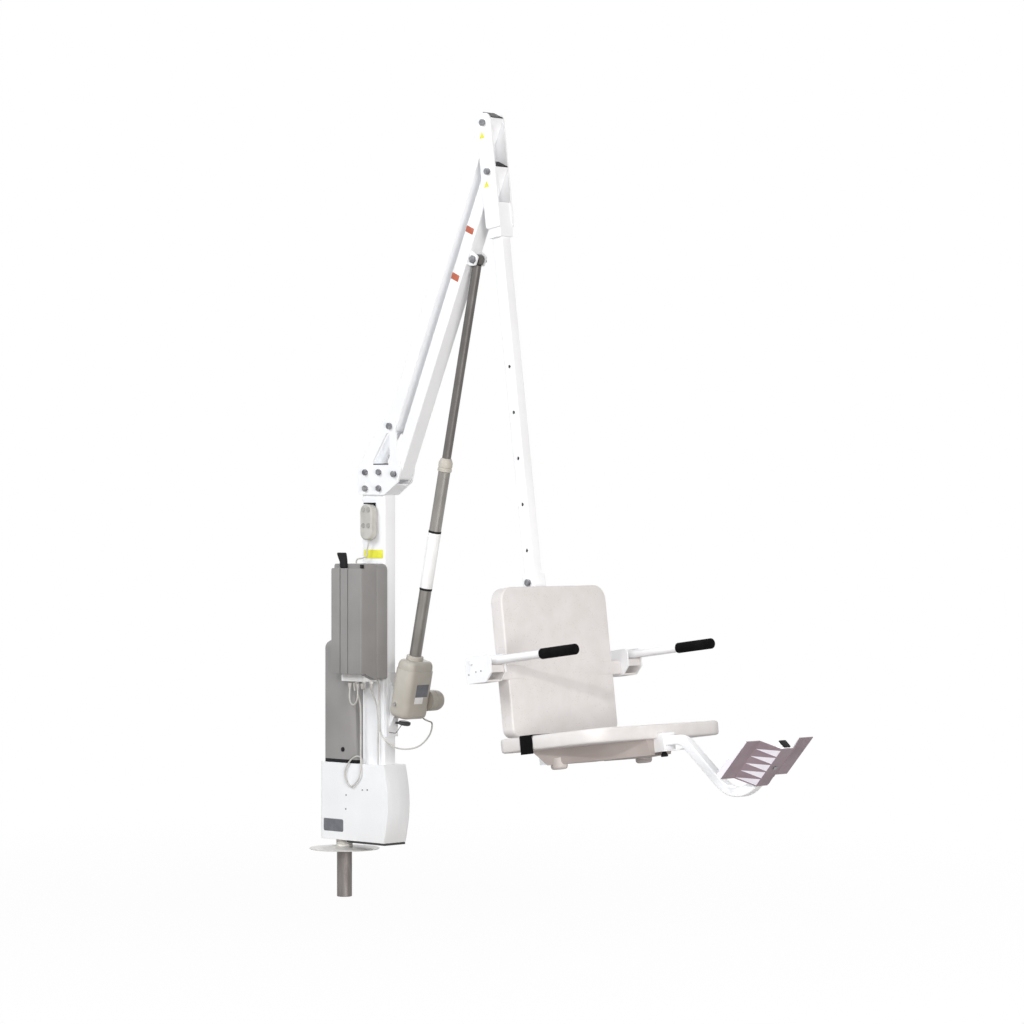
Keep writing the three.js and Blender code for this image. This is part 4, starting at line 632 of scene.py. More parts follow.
# Anchor: post, domed disc and grooved collar, all turned about the post's axis
anchor = {
    "postRadius": 24.15, "postWall": 3.9, "postFoot": -152.4, "postTop": 238.0, "footChamfer": 1.6,
    "discRadius": 112.0, "discEdge": 3.0, "discRise": 8.0, "discBore": 24.45, "flatRadius": 45.0,
    "collarRadius": 26.5, "collarFoot": 8.3, "collarTop": 32.7, "grooveDepth": 1.2,
}


def makeAnchor(spec):
    axis = (0, 0, 1)
    bore = spec["postRadius"] - spec["postWall"]
    chamfer = spec["footChamfer"]
    post = [
        (bore, spec["postFoot"] + chamfer), (bore + chamfer, spec["postFoot"]),
        (spec["postRadius"] - chamfer, spec["postFoot"]),
        (spec["postRadius"], spec["postFoot"] + chamfer),
        (spec["postRadius"], spec["postTop"]), (bore, spec["postTop"]),
        (bore, spec["postFoot"] + chamfer),
    ]
    tube = turned((0, 0, 0), axis, np.array(post) * mm)
    showForm("anchorTube", [tube], "galvanised", "anchor", ["anchor_post"])
    share = np.linspace(0, 1, 14)
    dome = np.stack([
        spec["discRadius"] - 0.8 + (spec["flatRadius"] - spec["discRadius"]) * share,
        spec["discEdge"] + (spec["discRise"] - spec["discEdge"]) * np.sin(share * np.pi / 2),
    ], axis=-1)
    disc = np.concatenate([
        [(spec["discBore"], 0), (spec["discRadius"] - 0.9, 0), (spec["discRadius"], 0.8)],
        [(spec["discRadius"], spec["discEdge"] - 0.6)], dome,
        [(spec["discBore"] + 0.6, spec["discRise"]), (spec["discBore"], spec["discRise"] - 0.6)],
        [(spec["discBore"], 0)],
    ])
    plate = turned((0, 0, 0), axis, disc * mm, 128)
    # The disc takes the darkened copy of the white coat, painted shade
    showForm("deckDisc", [plate], "discShadedCoat", "anchor", ["deck_flange"])
    foot, top, outer = spec["collarFoot"], spec["collarTop"], spec["collarRadius"]
    groove = outer - spec["grooveDepth"]
    third = (top - foot) / 3
    collar = [
        (spec["discBore"], foot), (outer - 1, foot), (outer, foot + 1),
        (outer, foot + third - 1), (groove, foot + third), (outer, foot + third + 1),
        (outer, top - third - 1), (groove, top - third), (outer, top - third + 1),
        (outer, top - 1), (outer - 1, top), (spec["discBore"], top), (spec["discBore"], foot),
    ]
    ring = turned((0, 0, 0), axis, np.array(collar) * mm)
    showForm("thrustCollar", [ring], "paleNylon", "anchor", ["swivel_collar"])


makeAnchor(anchor)
print("anchor turned")

# Solids whose shape is right get eased edges and smooth curves, with their own edge radius
easedNodes = {
    "base_frame": 0.6, "base_plate": 0.8, "base_cover": 1.2, "base_front_cover": 1.2,
    "motor_cover": 1.5, "cover_seal": 1.2, "mast_tube": 0.8, "arm_bracket": 1.0,
    "lower_pivot_bolt": 0.8, "upper_pivot_bolt": 0.8, "actuator_bracket": 1.0,
    "actuator_pin": 0.6, "control_box": 1.0, "connector_strip": 0.8, "battery_pack": 1.0,
    "battery_lever": 1.2, "handset_hook": 0.5, "hand_control": 1.0,
    **dict.fromkeys(pushButtons, 0.4), "lower_arm": 0.8, "lower_arm_cap": 0.8,
    "upper_arm": 0.8, "upper_arm_cap": 0.8, "actuator_rod": 0.6,
    "hanger_head": 1.0, "hanger_lower_bolt": 0.8,
    "hanger_upper_bolt": 0.8, "hanger_tube": 0.7, "adjusting_pin": 0.8, "seat_frame": 0.8,
    "seat_pan": 2.0, "armrest_left": 0.6, "armrest_right": 0.6,
    "swivel_gearmotor": 0.8, "lower_bushing": 0.4, "upper_bushing": 0.4, "fixed_gear": 0.2,
    "drive_pinion": 0.2,
}
facetedNodes = {"base_front_cover": 7.0}
dressed = {
    node: dress(node, edge, facetedNodes.get(node, 35.0)) for node, edge in easedNodes.items()
}
print("solids dressed,", len(easedNodes))

# Hex heads drawn in toward their bolt axes, points in millimetres in the XZ plane
headShare = 0.78
boltHeads = {
    "arm_bracket": {
        "axes": [(132.28, 1151.4), (194.36, 1151.4), (132.28, 1202.4), (194.36, 1202.4)],
        "reach": 13.0, "beyond": 31.9, "finish": "boltSteel",
    },
    "lower_pivot_bolt": {"axes": [(262.2, 1196.1)], "reach": 14.0, "beyond": 31.9},
    "upper_pivot_bolt": {"axes": [(242.31, 1347.2)], "reach": 14.0, "beyond": 31.9},
    "hanger_lower_bolt": {"axes": [(673.0, 2118.78)], "reach": 14.0, "beyond": 31.9},
    "hanger_upper_bolt": {"axes": [(653.11, 2269.88)], "reach": 14.0, "beyond": 31.9},
    "lower_arm": {
        "axes": [(599.46, 1853.78)], "reach": 13.0, "beyond": 21.6, "finish": "boltSteel", "share": 1.0,
    },
    "actuator_pin": {"axes": [(289.4, 474.8)], "reach": 14.0, "beyond": 55.2, "share": 0.45},
}


def drawHeads(node, spec, share):
    mesh = dressed[node].data
    count = len(mesh.vertices)
    points = np.empty(count * 3)
    mesh.vertices.foreach_get("co", points)
    points = points.reshape(-1, 3)
    outside = np.abs(points[:, 1]) >= spec["beyond"] * mm
    for axis in spec["axes"]:
        centre = np.array(axis) * mm
        arm = points[:, [0, 2]] - centre
        near = outside & (np.linalg.norm(arm, axis=1) <= spec["reach"] * mm)
        points[:, 0][near] = centre[0] + arm[near, 0] * spec.get("share", share)
        points[:, 2][near] = centre[1] + arm[near, 1] * spec.get("share", share)
    mesh.vertices.foreach_set("co", points.ravel())
    if "finish" in spec:
        mesh.materials.append(materials[spec["finish"]])
        for face in mesh.polygons:
            place = np.array(face.center)[[0, 2]]
            arm = min(np.linalg.norm(place - np.array(axis) * mm) for axis in spec["axes"])
            if abs(face.center.y) > (spec["beyond"] + 0.6) * mm and arm < spec["reach"] * mm:
                face.material_index = 1
    mesh.update()


for node, spec in boltHeads.items():
    drawHeads(node, spec, headShare)
print("bolt heads drawn in")

# Screw actuator: points along it are counted from its foot pivot
actuator = {
    "foot": (289.4, 0.0, 474.8), "turnDeg": 77.328,
    "tubeFoot": 156.3, "tubeTop": 746.0, "tubeRadius": 19.0, "tubeBore": 15.0, "tubeFloor": 5.0,
    "sleeveFoot": 374.0, "sleeveTop": 550.0, "sleeveRise": 0.8, "bandWidth": 7.0,
    "collarFoot": 746.3, "collarTop": 788.3, "collarRadius": 22.0, "rodBore": 14.3,
    "bandRise": 0.25, "skinGap": 0.02,
}
turnUp = math.radians(actuator["turnDeg"])
actuatorAlong = np.array([math.cos(turnUp), 0, math.sin(turnUp)])
actuatorFront = np.array([math.sin(turnUp), 0, -math.cos(turnUp)])
actuatorFoot = np.array(actuator["foot"]) * mm


def makeActuator(spec):
    edge = 0.8
    tube = [
        (0, spec["tubeFoot"]), (spec["tubeRadius"] - edge, spec["tubeFoot"]),
        (spec["tubeRadius"], spec["tubeFoot"] + edge), (spec["tubeRadius"], spec["tubeTop"] - edge),
        (spec["tubeRadius"] - edge, spec["tubeTop"]), (spec["tubeBore"], spec["tubeTop"]),
        (spec["tubeBore"], spec["tubeFoot"] + spec["tubeFloor"]),
        (0, spec["tubeFoot"] + spec["tubeFloor"]),
    ]
    barrel = turned(actuatorFoot, actuatorAlong, np.array(tube) * mm)
    showForm("actuatorBarrel", [barrel], "anodised", "actuator", ["actuator_tube"])

    def ringAt(name, foot, top, inner, outer, finish):
        ease = min(0.4, (outer - inner) / 3)
        profile = [
            (inner, foot), (outer - ease, foot), (outer, foot + ease), (outer, top - ease),
            (outer - ease, top), (inner, top), (inner, foot),
        ]
        ring = turned(actuatorFoot, actuatorAlong, np.array(profile) * mm)
        showForm(name, [ring], finish, "actuator")

    skinRadius = spec["tubeRadius"] + spec["skinGap"]
    rise = spec["tubeRadius"] + spec["sleeveRise"]
    ringAt("barrelSleeve", spec["sleeveFoot"], spec["sleeveTop"], skinRadius, rise, "plainWhite")
    for name, low in (
        ("barrelBandLow", spec["sleeveFoot"] - spec["bandWidth"]), ("barrelBandHigh", spec["sleeveTop"]),
    ):
        ringAt(
            name, low, low + spec["bandWidth"], skinRadius, rise + spec["bandRise"], "blackPlastic",
        )
    foot, top, outer = spec["collarFoot"], spec["collarTop"], spec["collarRadius"]
    collar = [
        (spec["rodBore"], foot), (outer - 1, foot), (outer, foot + 1), (outer, foot + 9),
        (outer - 1.2, foot + 10.5), (outer - 1.2, foot + 13), (outer, foot + 14.5),
        (outer, top - 14), (outer - 5.5, top - 1.2), (outer - 6.5, top),
        (spec["rodBore"], top), (spec["rodBore"], foot),
    ]
    ring = turned(actuatorFoot, actuatorAlong, np.array(collar) * mm)
    showForm(
        "barrelCollar", [ring], "housingPlastic", "actuator", ["actuator_collar"],
    )


makeActuator(actuator)
print("actuator made")

# Gear housing: a rounded slab with a stepped top and a domed foot, forked for the mast bracket
housing = {
    "middle": 8.0, "halfWidth": 55.0, "halfDepth": 40.0, "corner": 25.0,
    "rows": [
        (19.0, -42.5), (12.0, -41.0), (6.0, -38.0), (2.2, -33.5), (0.5, -28.0), (0.0, -21.0),
        (0.0, 112.0), (0.8, 113.4), (2.4, 114.0), (2.4, 117.0), (2.8, 125.0), (4.8, 133.0),
        (9.0, 139.5), (15.0, 142.6), (20.0, 143.0),
    ],
    "neck": [(pole, 140), (27, 140), (27, 152), (25.8, 154.8), (23, 156), (pole, 156)],
    "forkHead": 22.0, "forkHalf": 13.0, "forkFront": 22.0, "forkCorner": 0.5,
    "forkBelow": 70.0, "forkBehind": 60.0, "bore": 8.3, "boreReach": 70.0,
}
motor = {
    "along": 14.0, "front": 25.0, "foot": 55.3,
    "profile": [
        (pole, 0), (33, 0), (33, 21), (31.6, 22), (31.6, 24), (32.8, 25), (32.6, 38), (31.2, 46),
        (27.5, 53), (22, 57.4), (19, 58.4), (18.4, 57.4), (17.6, 58.6), (10, 60.8), (pole, 61.4),
    ],
}


def cutBy(mesh, cutters):
    piece = bpy.data.objects.new("cutTarget", mesh)
    scene.collection.objects.link(piece)
    tools = []
    for cutter in cutters:
        tool = bpy.data.objects.new("cutTool", cutter)
        scene.collection.objects.link(tool)
        tools.append(tool)
        cut = piece.modifiers.new("cut", "BOOLEAN")
        cut.operation = "DIFFERENCE"
        cut.solver = "EXACT"
        cut.object = tool
    bpy.context.view_layer.update()
    depsgraph = bpy.context.evaluated_depsgraph_get()
    shape = bpy.data.meshes.new_from_object(piece.evaluated_get(depsgraph))
    for item in (piece, *tools):
        bpy.data.objects.remove(item)
    return shape


def onActuator(along, side, front):
    reach = (along * actuatorAlong + front * actuatorFront) * mm
    return actuatorFoot + reach + side * mm * np.array([0.0, 1.0, 0.0])


def makeHousing(spec):
    side = np.array([0.0, 1.0, 0.0])
    rows = np.array(spec["rows"]) * mm
    body = slab(
        onActuator(0, 0, spec["middle"]), side, actuatorFront, actuatorAlong,
        roundedOutline(spec["halfWidth"] * mm, spec["halfDepth"] * mm, spec["corner"] * mm, 12), rows,
    )
    forkLength = spec["forkHead"] + spec["forkBelow"]
    behind = spec["forkBehind"]
    fork = slab(
        onActuator(spec["forkHead"] - forkLength, 0, (spec["forkFront"] - behind) / 2), side,
        actuatorFront, actuatorAlong,
        roundedOutline(
            spec["forkHalf"] * mm, (spec["forkFront"] + behind) / 2 * mm, spec["forkCorner"] * mm, 3,
        ), [(0, 0), (0, forkLength * mm)],
    )
    far = spec["boreReach"]
    bore = turned(actuatorFoot, side, np.array([
        (pole, -far), (spec["bore"], -far), (spec["bore"], far), (pole, far),
    ]) * mm, 32)
    tools = [meshFrom("forkTool", [fork]), meshFrom("boreTool", [bore])]
    shape = cutBy(meshFrom("gearHousing", [body], 30), tools)
    shape.materials.clear()
    shape = cleaned(shape, 30)
    settle(
        linkMesh("gearHousing", shape, materials["housingPlastic"]), "actuator",
        ["actuator_housing"],
    )
    neck = turned(actuatorFoot, actuatorAlong, np.array(spec["neck"]) * mm)
    showForm("housingNeck", [neck], "housingPlastic", "actuator")


def makeMotor(spec):
    centre = onActuator(spec["along"], spec["foot"], spec["front"])
    shell = turned(centre, (0, 1, 0), np.array(spec["profile"]) * mm)
    showForm(
        "driveMotor", [shell], "housingPlastic", "actuator", ["actuator_motor"], 40,
    )


makeHousing(housing)
makeMotor(motor)
print("housing and motor made")

# Seat: counted forward and up in the tilted frame of the hanger
seat = {
    "origin": (899.728, 0.0, 396.641), "tiltDeg": 7.5,
    "backBack": 31.0, "backFront": 81.0, "backFoot": 3.0, "backTop": 451.0, "backHalf": 229.5,
    "backCorner": 46.0, "footCorner": 26.0, "backEdge": 5.0, "backCrown": 3.0,
    "wingHalf": 266.7, "wingFoot": 173.5, "wingTop": 218.5, "wingCorner": 10.0, "wingEdge": 6.0,
    "beltBack": 157.0, "beltWidth": 50.0, "beltThickness": 2.6, "beltDrop": 53.0,
    "panHalf": 288.8,
}
tiltUp = math.radians(seat["tiltDeg"])
seatForward = np.array([math.cos(tiltUp), 0, math.sin(tiltUp)])
seatUp = np.array([-math.sin(tiltUp), 0, math.cos(tiltUp)])
seatAcross = np.array([0.0, 1.0, 0.0])
seatOrigin = np.array(seat["origin"]) * mm


def onSeat(forward, side, up):
    return seatOrigin + (forward * seatForward + side * seatAcross + up * seatUp) * mm


# Backrest: a slab whose front swells by one minus the square of the distance from its middle
def makeBackrest(spec):
    middle = (spec["backFoot"] + spec["backTop"]) / 2
    outline = roundedOutline(
        spec["backHalf"] * mm, (spec["backTop"] - spec["backFoot"]) / 2 * mm,
        spec["backCorner"] * mm, 14, spec["footCorner"] * mm,
    )
    thickness = (spec["backFront"] - spec["backBack"]) * mm
    crown = spec["backCrown"] * mm
    rows = roundedRows(0, thickness - crown, spec["backEdge"] * mm, 7)
    points, normals = outline
    rings = points[None] - rows[:, 0][:, None, None] * normals[None]
    heights = np.repeat(rows[:, 1][:, None], points.shape[0], axis=1)
    share = np.linspace(1, 0.04, 12)[1:]
    inner = rings[-1][None] * share[:, None, None]
    innerHeights = thickness - crown + crown * (1 - share ** 2)[:, None] + 0 * inner[..., 0]
    flat = np.concatenate([rings, inner])
    lift = np.concatenate([heights, innerHeights])
    base = onSeat(spec["backBack"], 0, middle)
    world = (
        base[None, None] + flat[..., :1] * seatAcross + flat[..., 1:] * seatUp
        + lift[..., None] * seatForward
    )
    wingMiddle = (spec["wingFoot"] + spec["wingTop"]) / 2
    wing = slab(
        onSeat(spec["backBack"], 0, wingMiddle), seatAcross, seatUp, seatForward,
        roundedOutline(
            spec["wingHalf"] * mm, (spec["wingTop"] - spec["wingFoot"]) / 2 * mm,
            spec["wingCorner"] * mm, 6,
        ),
        roundedRows(0.2 * mm, thickness - 0.8 * mm, spec["wingEdge"] * mm),
    )
    showForm(
        "backrestShell", [skin(world), wing], "shellPlastic", "hanger", ["backrest"], 40,
    )


makeBackrest(seat)

# The wedge under the pan is in its own shadowed tone, its rim keeps the pan's
wedgeShade = {"below": -46.0}


def shadeWedge(spec):
    mesh = dressed["seat_pan"].data
    mesh.materials.append(materials["wedgeShadePlastic"])
    for face in mesh.polygons:
        if (np.array(face.center) - seatOrigin) @ seatUp < spec["below"] * mm:
            face.material_index = 1


shadeWedge(wedgeShade)

# Moulded feet under the wedge, and the wing ends of the shell held in the armrest brackets
seatFeet = {"along": 208.0, "side": 186.0, "radius": 25.0, "foot": -104.6, "top": -70.0, "round": 9.0}
wingEnd = {"inner": 272.0, "outer": 327.6, "back": 29.0, "front": 109.0, "below": 221.0}


def makeSeatFeet(spec):
    turn = np.linspace(0, np.pi / 2, 6)
    edge = np.stack([
        spec["radius"] - spec["round"] * (1 - np.sin(turn)),
        spec["foot"] + spec["round"] * (1 - np.cos(turn)),
    ], axis=-1)
    profile = np.concatenate([
        [(pole, spec["foot"])], edge, [(spec["radius"], spec["top"]), (pole, spec["top"])],
    ])
    parts = [
        turned(onSeat(spec["along"], side * spec["side"], 0), seatUp, profile * mm, 48) for side in (-1, 1)
    ]
    showForm("seatFeet", parts, "feetPlastic", "hanger", creaseDeg=40)


def toneWingEnds(spec):
    mesh = dressed["seat_frame"].data
    mesh.materials.append(materials["shellPlastic"])
    for face in mesh.polygons:
        arm = np.array(face.center) - seatOrigin
        forward, up = arm @ seatForward / mm, arm @ seatUp / mm
        inside = spec["inner"] < abs(face.center.y) / mm < spec["outer"]
        if inside and spec["back"] < forward < spec["front"] and up < spec["below"]:
            face.material_index = 1


makeSeatFeet(seatFeet)
toneWingEnds(wingEnd)


# Belt: a flat strap carried round the pan's edges, its path square with eased corners
def makeBelt(spec):
    reach = spec["panHalf"] + spec["beltThickness"] / 2
    top = 0.3 + spec["beltThickness"] / 2
    ease = 4.0
    turn = np.linspace(0, np.pi / 2, 7)
    right = np.stack([
        -reach + ease * (1 - np.sin(turn)), top - ease * (1 - np.cos(turn)),
    ], axis=-1)[::-1]
    across = np.linspace(-reach + ease + 2, reach - ease - 2, 60)
    flatRun = np.stack([across, np.full_like(across, top)], axis=-1)
    left = right[::-1] * np.array([-1.0, 1.0])
    path = np.concatenate([
        [(-reach, -spec["beltDrop"])], right, flatRun, left, [(reach, -spec["beltDrop"])],
    ])
    ahead = np.gradient(path, axis=0)
    ahead /= np.linalg.norm(ahead, axis=1)[:, None]
    normal = np.stack([-ahead[:, 1], ahead[:, 0]], axis=-1)
    half = spec["beltThickness"] / 2
    width = spec["beltWidth"]
    section = np.array([
        (0.6, -half), (width - 0.6, -half), (width, -half + 0.6), (width, half - 0.6),
        (width - 0.6, half), (3.6, half), (3.0, half - 0.4), (2.4, half), (0.6, half),
        (0, half - 0.6), (0, -half + 0.6),
    ])
    points = []
    for forward, lift in section:
        flat = path + lift * normal
        points.append(
            seatOrigin[None]
            + ((spec["beltBack"] + forward) * seatForward)[None] * mm
            + flat[:, :1] * seatAcross * mm + flat[:, 1:] * seatUp * mm
        )
    rings = np.stack(points, axis=1)
    showForm("seatBeltStrap", [skin(rings)], "webbing", "hanger", ["seat_belt"], 50)


makeBelt(seat)
print("seat made")

# Armrest grips: foam sleeves with a round end and fine rings
grip = {
    "height": 232.0, "side": 300.0, "back": 288.0, "front": 427.0,
    "radius": 16.0, "bore": 13.1, "stop": 422.3, "endRound": 6.0, "ringPitch": 5.2, "ringDepth": 0.35,
}


def makeGrip(name, side, spec):
    along = np.linspace(spec["back"] + 3, spec["front"] - spec["endRound"], 110)
    wave = 0.5 - 0.5 * np.cos(2 * np.pi * along / spec["ringPitch"])
    radius = spec["radius"] - spec["ringDepth"] * wave
    turn = np.linspace(0, np.pi / 2, 8)
    nose = np.stack([
        spec["radius"] - spec["endRound"] * (1 - np.cos(turn)),
        spec["front"] - spec["endRound"] * (1 - np.sin(turn)),
    ], axis=-1)
    profile = np.concatenate([
        [(spec["bore"], spec["stop"]), (spec["bore"], spec["back"])],
        [(spec["radius"] - 2.4, spec["back"]), (spec["radius"] - 0.7, spec["back"] + 1)],
        np.stack([radius, along], axis=-1), nose, [(pole, spec["front"])],
    ])
    profile = np.concatenate([[(pole, spec["stop"])], profile])
    centre = onSeat(0, side * spec["side"], spec["height"])
    foam = turned(centre, seatForward, profile * mm, 48)
    label = "left" if side > 0 else "right"
    showForm(
        name, [foam], "gripFoam", label + "_rest", ["armrest_grip_" + label], 60,
    )


makeGrip("gripFoamLeft", 1, grip)
makeGrip("gripFoamRight", -1, grip)
print("grips made")

# Footrest bar: a square tube with eased corners along its bent centre line
footBar = {
    "halfWidth": 15.9, "thickness": 28.0, "corner": 4.0, "height": -52.0,
    "tail": 372.0, "bend": 540.3, "bendRadius": 60.0, "dropDeg": -47.3, "lowRadius": 95.0,
    "plateForward": 788.7, "plateHeight": -179.1, "plateDeg": 40.8, "plateLength": 148.0,
    "aboveFloor": -22.2, "plugLength": 3.0, "plugInset": 0.4,
}


# Arc of the given radius where two straight runs meet at a corner
def filletPoints(before, corner, after, radius, steps=14):
    back = (before - corner) / np.linalg.norm(before - corner)
    ahead = (after - corner) / np.linalg.norm(after - corner)
    half = math.acos(float(np.clip(back @ ahead, -1, 1))) / 2
    middle = back + ahead
    centre = corner + middle / np.linalg.norm(middle) * radius / math.sin(half)
    start = corner + back * radius / math.tan(half) - centre
    end = corner + ahead * radius / math.tan(half) - centre
    first = math.atan2(start[1], start[0])
    sweep = math.atan2(start[0] * end[1] - start[1] * end[0], float(start @ end))
    angle = first + sweep * np.linspace(0, 1, steps)
    return centre + radius * np.stack([np.cos(angle), np.sin(angle)], axis=-1)


def makeFootBar(spec):
    first = np.array([spec["bend"], spec["height"]])
    drop = math.radians(spec["dropDeg"])
    fall = np.array([math.cos(drop), math.sin(drop)])
    lean = math.radians(spec["plateDeg"])
    along = np.array([math.cos(lean), math.sin(lean)])
    normal = np.array([-along[1], along[0]])
    plateFoot = np.array([spec["plateForward"], spec["plateHeight"]]) + normal * spec["aboveFloor"]
    gap = plateFoot - first
    reach = (gap[0] * along[1] - gap[1] * along[0]) / (fall[0] * along[1] - fall[1] * along[0])
    second = first + fall * reach
    end = plateFoot + along * spec["plateLength"]
    tail = np.array([spec["tail"], spec["height"]])
    line = np.concatenate([
        [tail], filletPoints(tail, first, second, spec["bendRadius"]),
        filletPoints(first, second, end, spec["lowRadius"]), [end],
    ])
    steps = np.linalg.norm(np.diff(line, axis=0), axis=1)
    distance = np.concatenate([[0], np.cumsum(steps)])
    even = np.linspace(0, distance[-1], 120)
    line = np.stack([np.interp(even, distance, line[:, k]) for k in range(2)], axis=-1)
    outline = roundedOutline(spec["halfWidth"], spec["thickness"] / 2, spec["corner"], 5)
    verts, faces = swept(line, outline)
    placed = (
        seatOrigin[None] + (verts[:, :1] * seatForward + verts[:, 1:2] * seatAcross
        + verts[:, 2:] * seatUp) * mm
    )
    showForm(
        "footBarTube", [(placed, faces)], "powderCoat", "footrest", ["footrest_bar"], 40,
    )
    inset = spec["plugInset"]
    plug = slab(
        onSeat(end[0], 0, end[1]), seatAcross,
        seatForward * normal[0] + seatUp * normal[1], seatForward * along[0] + seatUp * along[1],
        roundedOutline(
            (spec["halfWidth"] - inset) * mm, (spec["thickness"] / 2 - inset) * mm,
            (spec["corner"] - inset) * mm, 5,
        ),
        roundedRows(0.05 * mm, spec["plugLength"] * mm, 1.0 * mm),
    )
    showForm("footBarPlug", [plug], "blackPlastic", "footrest", creaseDeg=40)


makeFootBar(footBar)

# Footplate: one folded sheet, its section drawn across (y) and off (z) the tread, then carried
# along it; under each slope five louvres stand out at the trough and die away toward the ledge
footPlate = {
    "folds": [(-148, 0), (-88, 0), (-26, -38), (26, -38), (88, 0), (148, 0)],
    "sheet": 3.0, "length": 146.5, "lipHeight": 16.0, "lipRun": 72.0, "lipFade": 10.0,
    "louvres": 5, "pitch": 28.2, "first": 4.5, "base": 23.5, "reach": 0.97, "rise": 1.2,
    "boltRadius": 7.0, "boltHeight": 4.0,
}


def makeFootPlate(spec, bar):
    lean = math.radians(bar["plateDeg"])
    along = seatForward * math.cos(lean) + seatUp * math.sin(lean)
    off = seatUp * math.cos(lean) - seatForward * math.sin(lean)
    foot = onSeat(bar["plateForward"], 0, bar["plateHeight"])

    def place(run, side, lift):
        return foot + (run * along + side * seatAcross + lift * off) * mm

    folds = np.array(spec["folds"], float)
    section = np.concatenate([folds, (folds - [0, spec["sheet"]])[::-1]])
    rings = np.array([[place(run, *point) for point in section] for run in (0, spec["length"])])
    parts = [skin(rings)]
    for side in (-1, 1):
        edge = side * folds[-1, 0]
        inner = edge - side * spec["sheet"]
        outline = [
            (0, 0), (spec["lipRun"], 0), (spec["lipRun"] - spec["lipFade"], spec["lipHeight"]),
            (0, spec["lipHeight"]),
        ]
        rings = np.array([[place(run, y, lift) for run, lift in outline] for y in (edge, inner)])
        parts.append(skin(rings))
    ledge, trough = folds[1] - [0, spec["sheet"]], folds[2] - [0, spec["sheet"]]
    slope = trough - ledge
    outward = np.array([slope[1], -slope[0]]) / np.linalg.norm(slope)
    tip = trough - slope * spec["reach"] + outward * 0.2
    low = trough - slope * 0.02
    for side in (1, -1):
        for k in range(spec["louvres"]):
            start = spec["first"] + k * spec["pitch"]
            points = [
                (start, tip), (start, low + outward * spec["rise"]),
                (start + spec["base"], low + outward * 0.2), (start, low - outward * 0.6),
                (start + spec["base"], low - outward * 0.6), (start, tip - outward * 0.6),
            ]
            verts = np.array([place(run, side * flat[0], flat[1]) for run, flat in points])
            parts.append((verts, [[0, 1, 2], [0, 5, 3, 1], [1, 3, 4, 2], [0, 2, 4, 5], [5, 4, 3]]))
    mesh = meshFrom("footPlateSheet", parts, 20)
    # Lit and shaded copies of the one lilac paint: faces turned up, louvre facets turned out of the slope
    # and side faces get the light copy (painted light), the rest the dark copy (painted shade)
    mesh.materials.append(materials["footPaint"])
    mesh.materials.append(materials["footPaintTop"])
    slopeFace = seatAcross * outward[0] + off * outward[1]
    for face in mesh.polygons:
        normal = np.array(face.normal)
        mirrored = normal * np.array([1.0, -1.0, 1.0])
        small = len(face.vertices) == 3 and face.area < 1.2e-3
        turnedOut = max(normal @ slopeFace, mirrored @ slopeFace) > 0.6
        if normal @ off > 0.2 or (small and turnedOut) or abs(normal[1]) > 0.98:
            face.material_index = 1
    piece = bpy.data.objects.new("footPlateSheet", mesh)
    scene.collection.objects.link(piece)
    settle(piece, "footrest", ["footrest_plate"])
    bolt = [
        (pole, 0), (spec["boltRadius"], 0), (spec["boltRadius"], spec["boltHeight"] - 1),
        (spec["boltRadius"] - 1, spec["boltHeight"]), (pole, spec["boltHeight"]),
    ]
    centre = place(spec["length"] / 2, 0, folds[2, 1] - spec["sheet"])
    head = turned(centre, -off, np.array(bolt) * mm, 32)
    showForm("footPlateBolt", [head], "boltSteel", "footrest")


makeFootPlate(footPlate, footBar)

# Clamp knob: a cone with finger lobes under the receiver, on its screw
knob = {
    "forward": 458.0, "top": -82.3, "height": 15.0, "wide": 11.0, "narrow": 6.0, "stem": 4.0,
    "stemTop": -66.6, "lobes": 9, "lobeShare": 0.045,
}


def makeKnob(spec):
    foot = spec["top"] - spec["height"]
    wide = spec["wide"] / (1 + spec["lobeShare"])
    cone = [
        (pole, foot), (wide - 1.5, foot), (wide, foot + 1.5), (wide, foot + spec["stem"]),
        (spec["narrow"], spec["top"]), (pole, spec["top"]),
    ]
    stem = [
        (pole, spec["top"]), (spec["stem"], spec["top"]), (spec["stem"], spec["stemTop"]),
        (pole, spec["stemTop"]),
    ]
    centre = onSeat(spec["forward"], 0, 0)
    parts = [
        turned(centre, seatUp, np.array(cone) * mm, 72, spec["lobes"], spec["lobeShare"]),
        turned(centre, seatUp, np.array(stem) * mm, 24),
    ]
    showForm("clampKnobCone", parts, "blackPlastic", "knob", ["clamp_knob"])


makeKnob(knob)
print("footrest made")
plateLift = 0.04


# Thin bare plates and plain labels; a prism for the ones that aren't rectangles
def addPlate(name, body, finish, centre, across, up, outward, width, height, corner, thick):
    edge = min(0.25, thick * 0.4)
    part = slab(
        np.asarray(centre, float) * mm, across, up, outward,
        roundedOutline(width / 2 * mm, height / 2 * mm, corner * mm, 6),
        roundedRows(plateLift * mm, thick * mm, edge * mm, 3),
    )
    showForm(name, [part], finish, body)


def addPrism(name, body, finish, corners, outward, low, high):
    flat = np.asarray(corners, float)
    lifts = [np.asarray(outward) * lift * mm for lift in (low, high)]
    showForm(name, [skin(np.stack([flat + lift for lift in lifts]))], finish, body)


def addStud(name, body, finish, centre, axis, radius, height, sides=32):
    ease = min(0.6, height * 0.4, radius * 0.4)
    profile = [
        (pole, -0.5), (radius, -0.5), (radius, height - ease),
        (radius - ease * 0.3, height - ease * 0.3), (radius - ease, height), (pole, height),
    ]
    head = turned(np.asarray(centre, float) * mm, axis, np.array(profile) * mm, sides)
    showForm(name, [head], finish, body)


xAxis, yAxis, zAxis = np.eye(3)
armTurn = math.radians(66.0)
armAlong = np.array([math.cos(armTurn), 0, math.sin(armTurn)])
armBack = np.array([-math.sin(armTurn), 0, math.cos(armTurn)])
armFoot = np.array([262.2, 0, 1196.1])

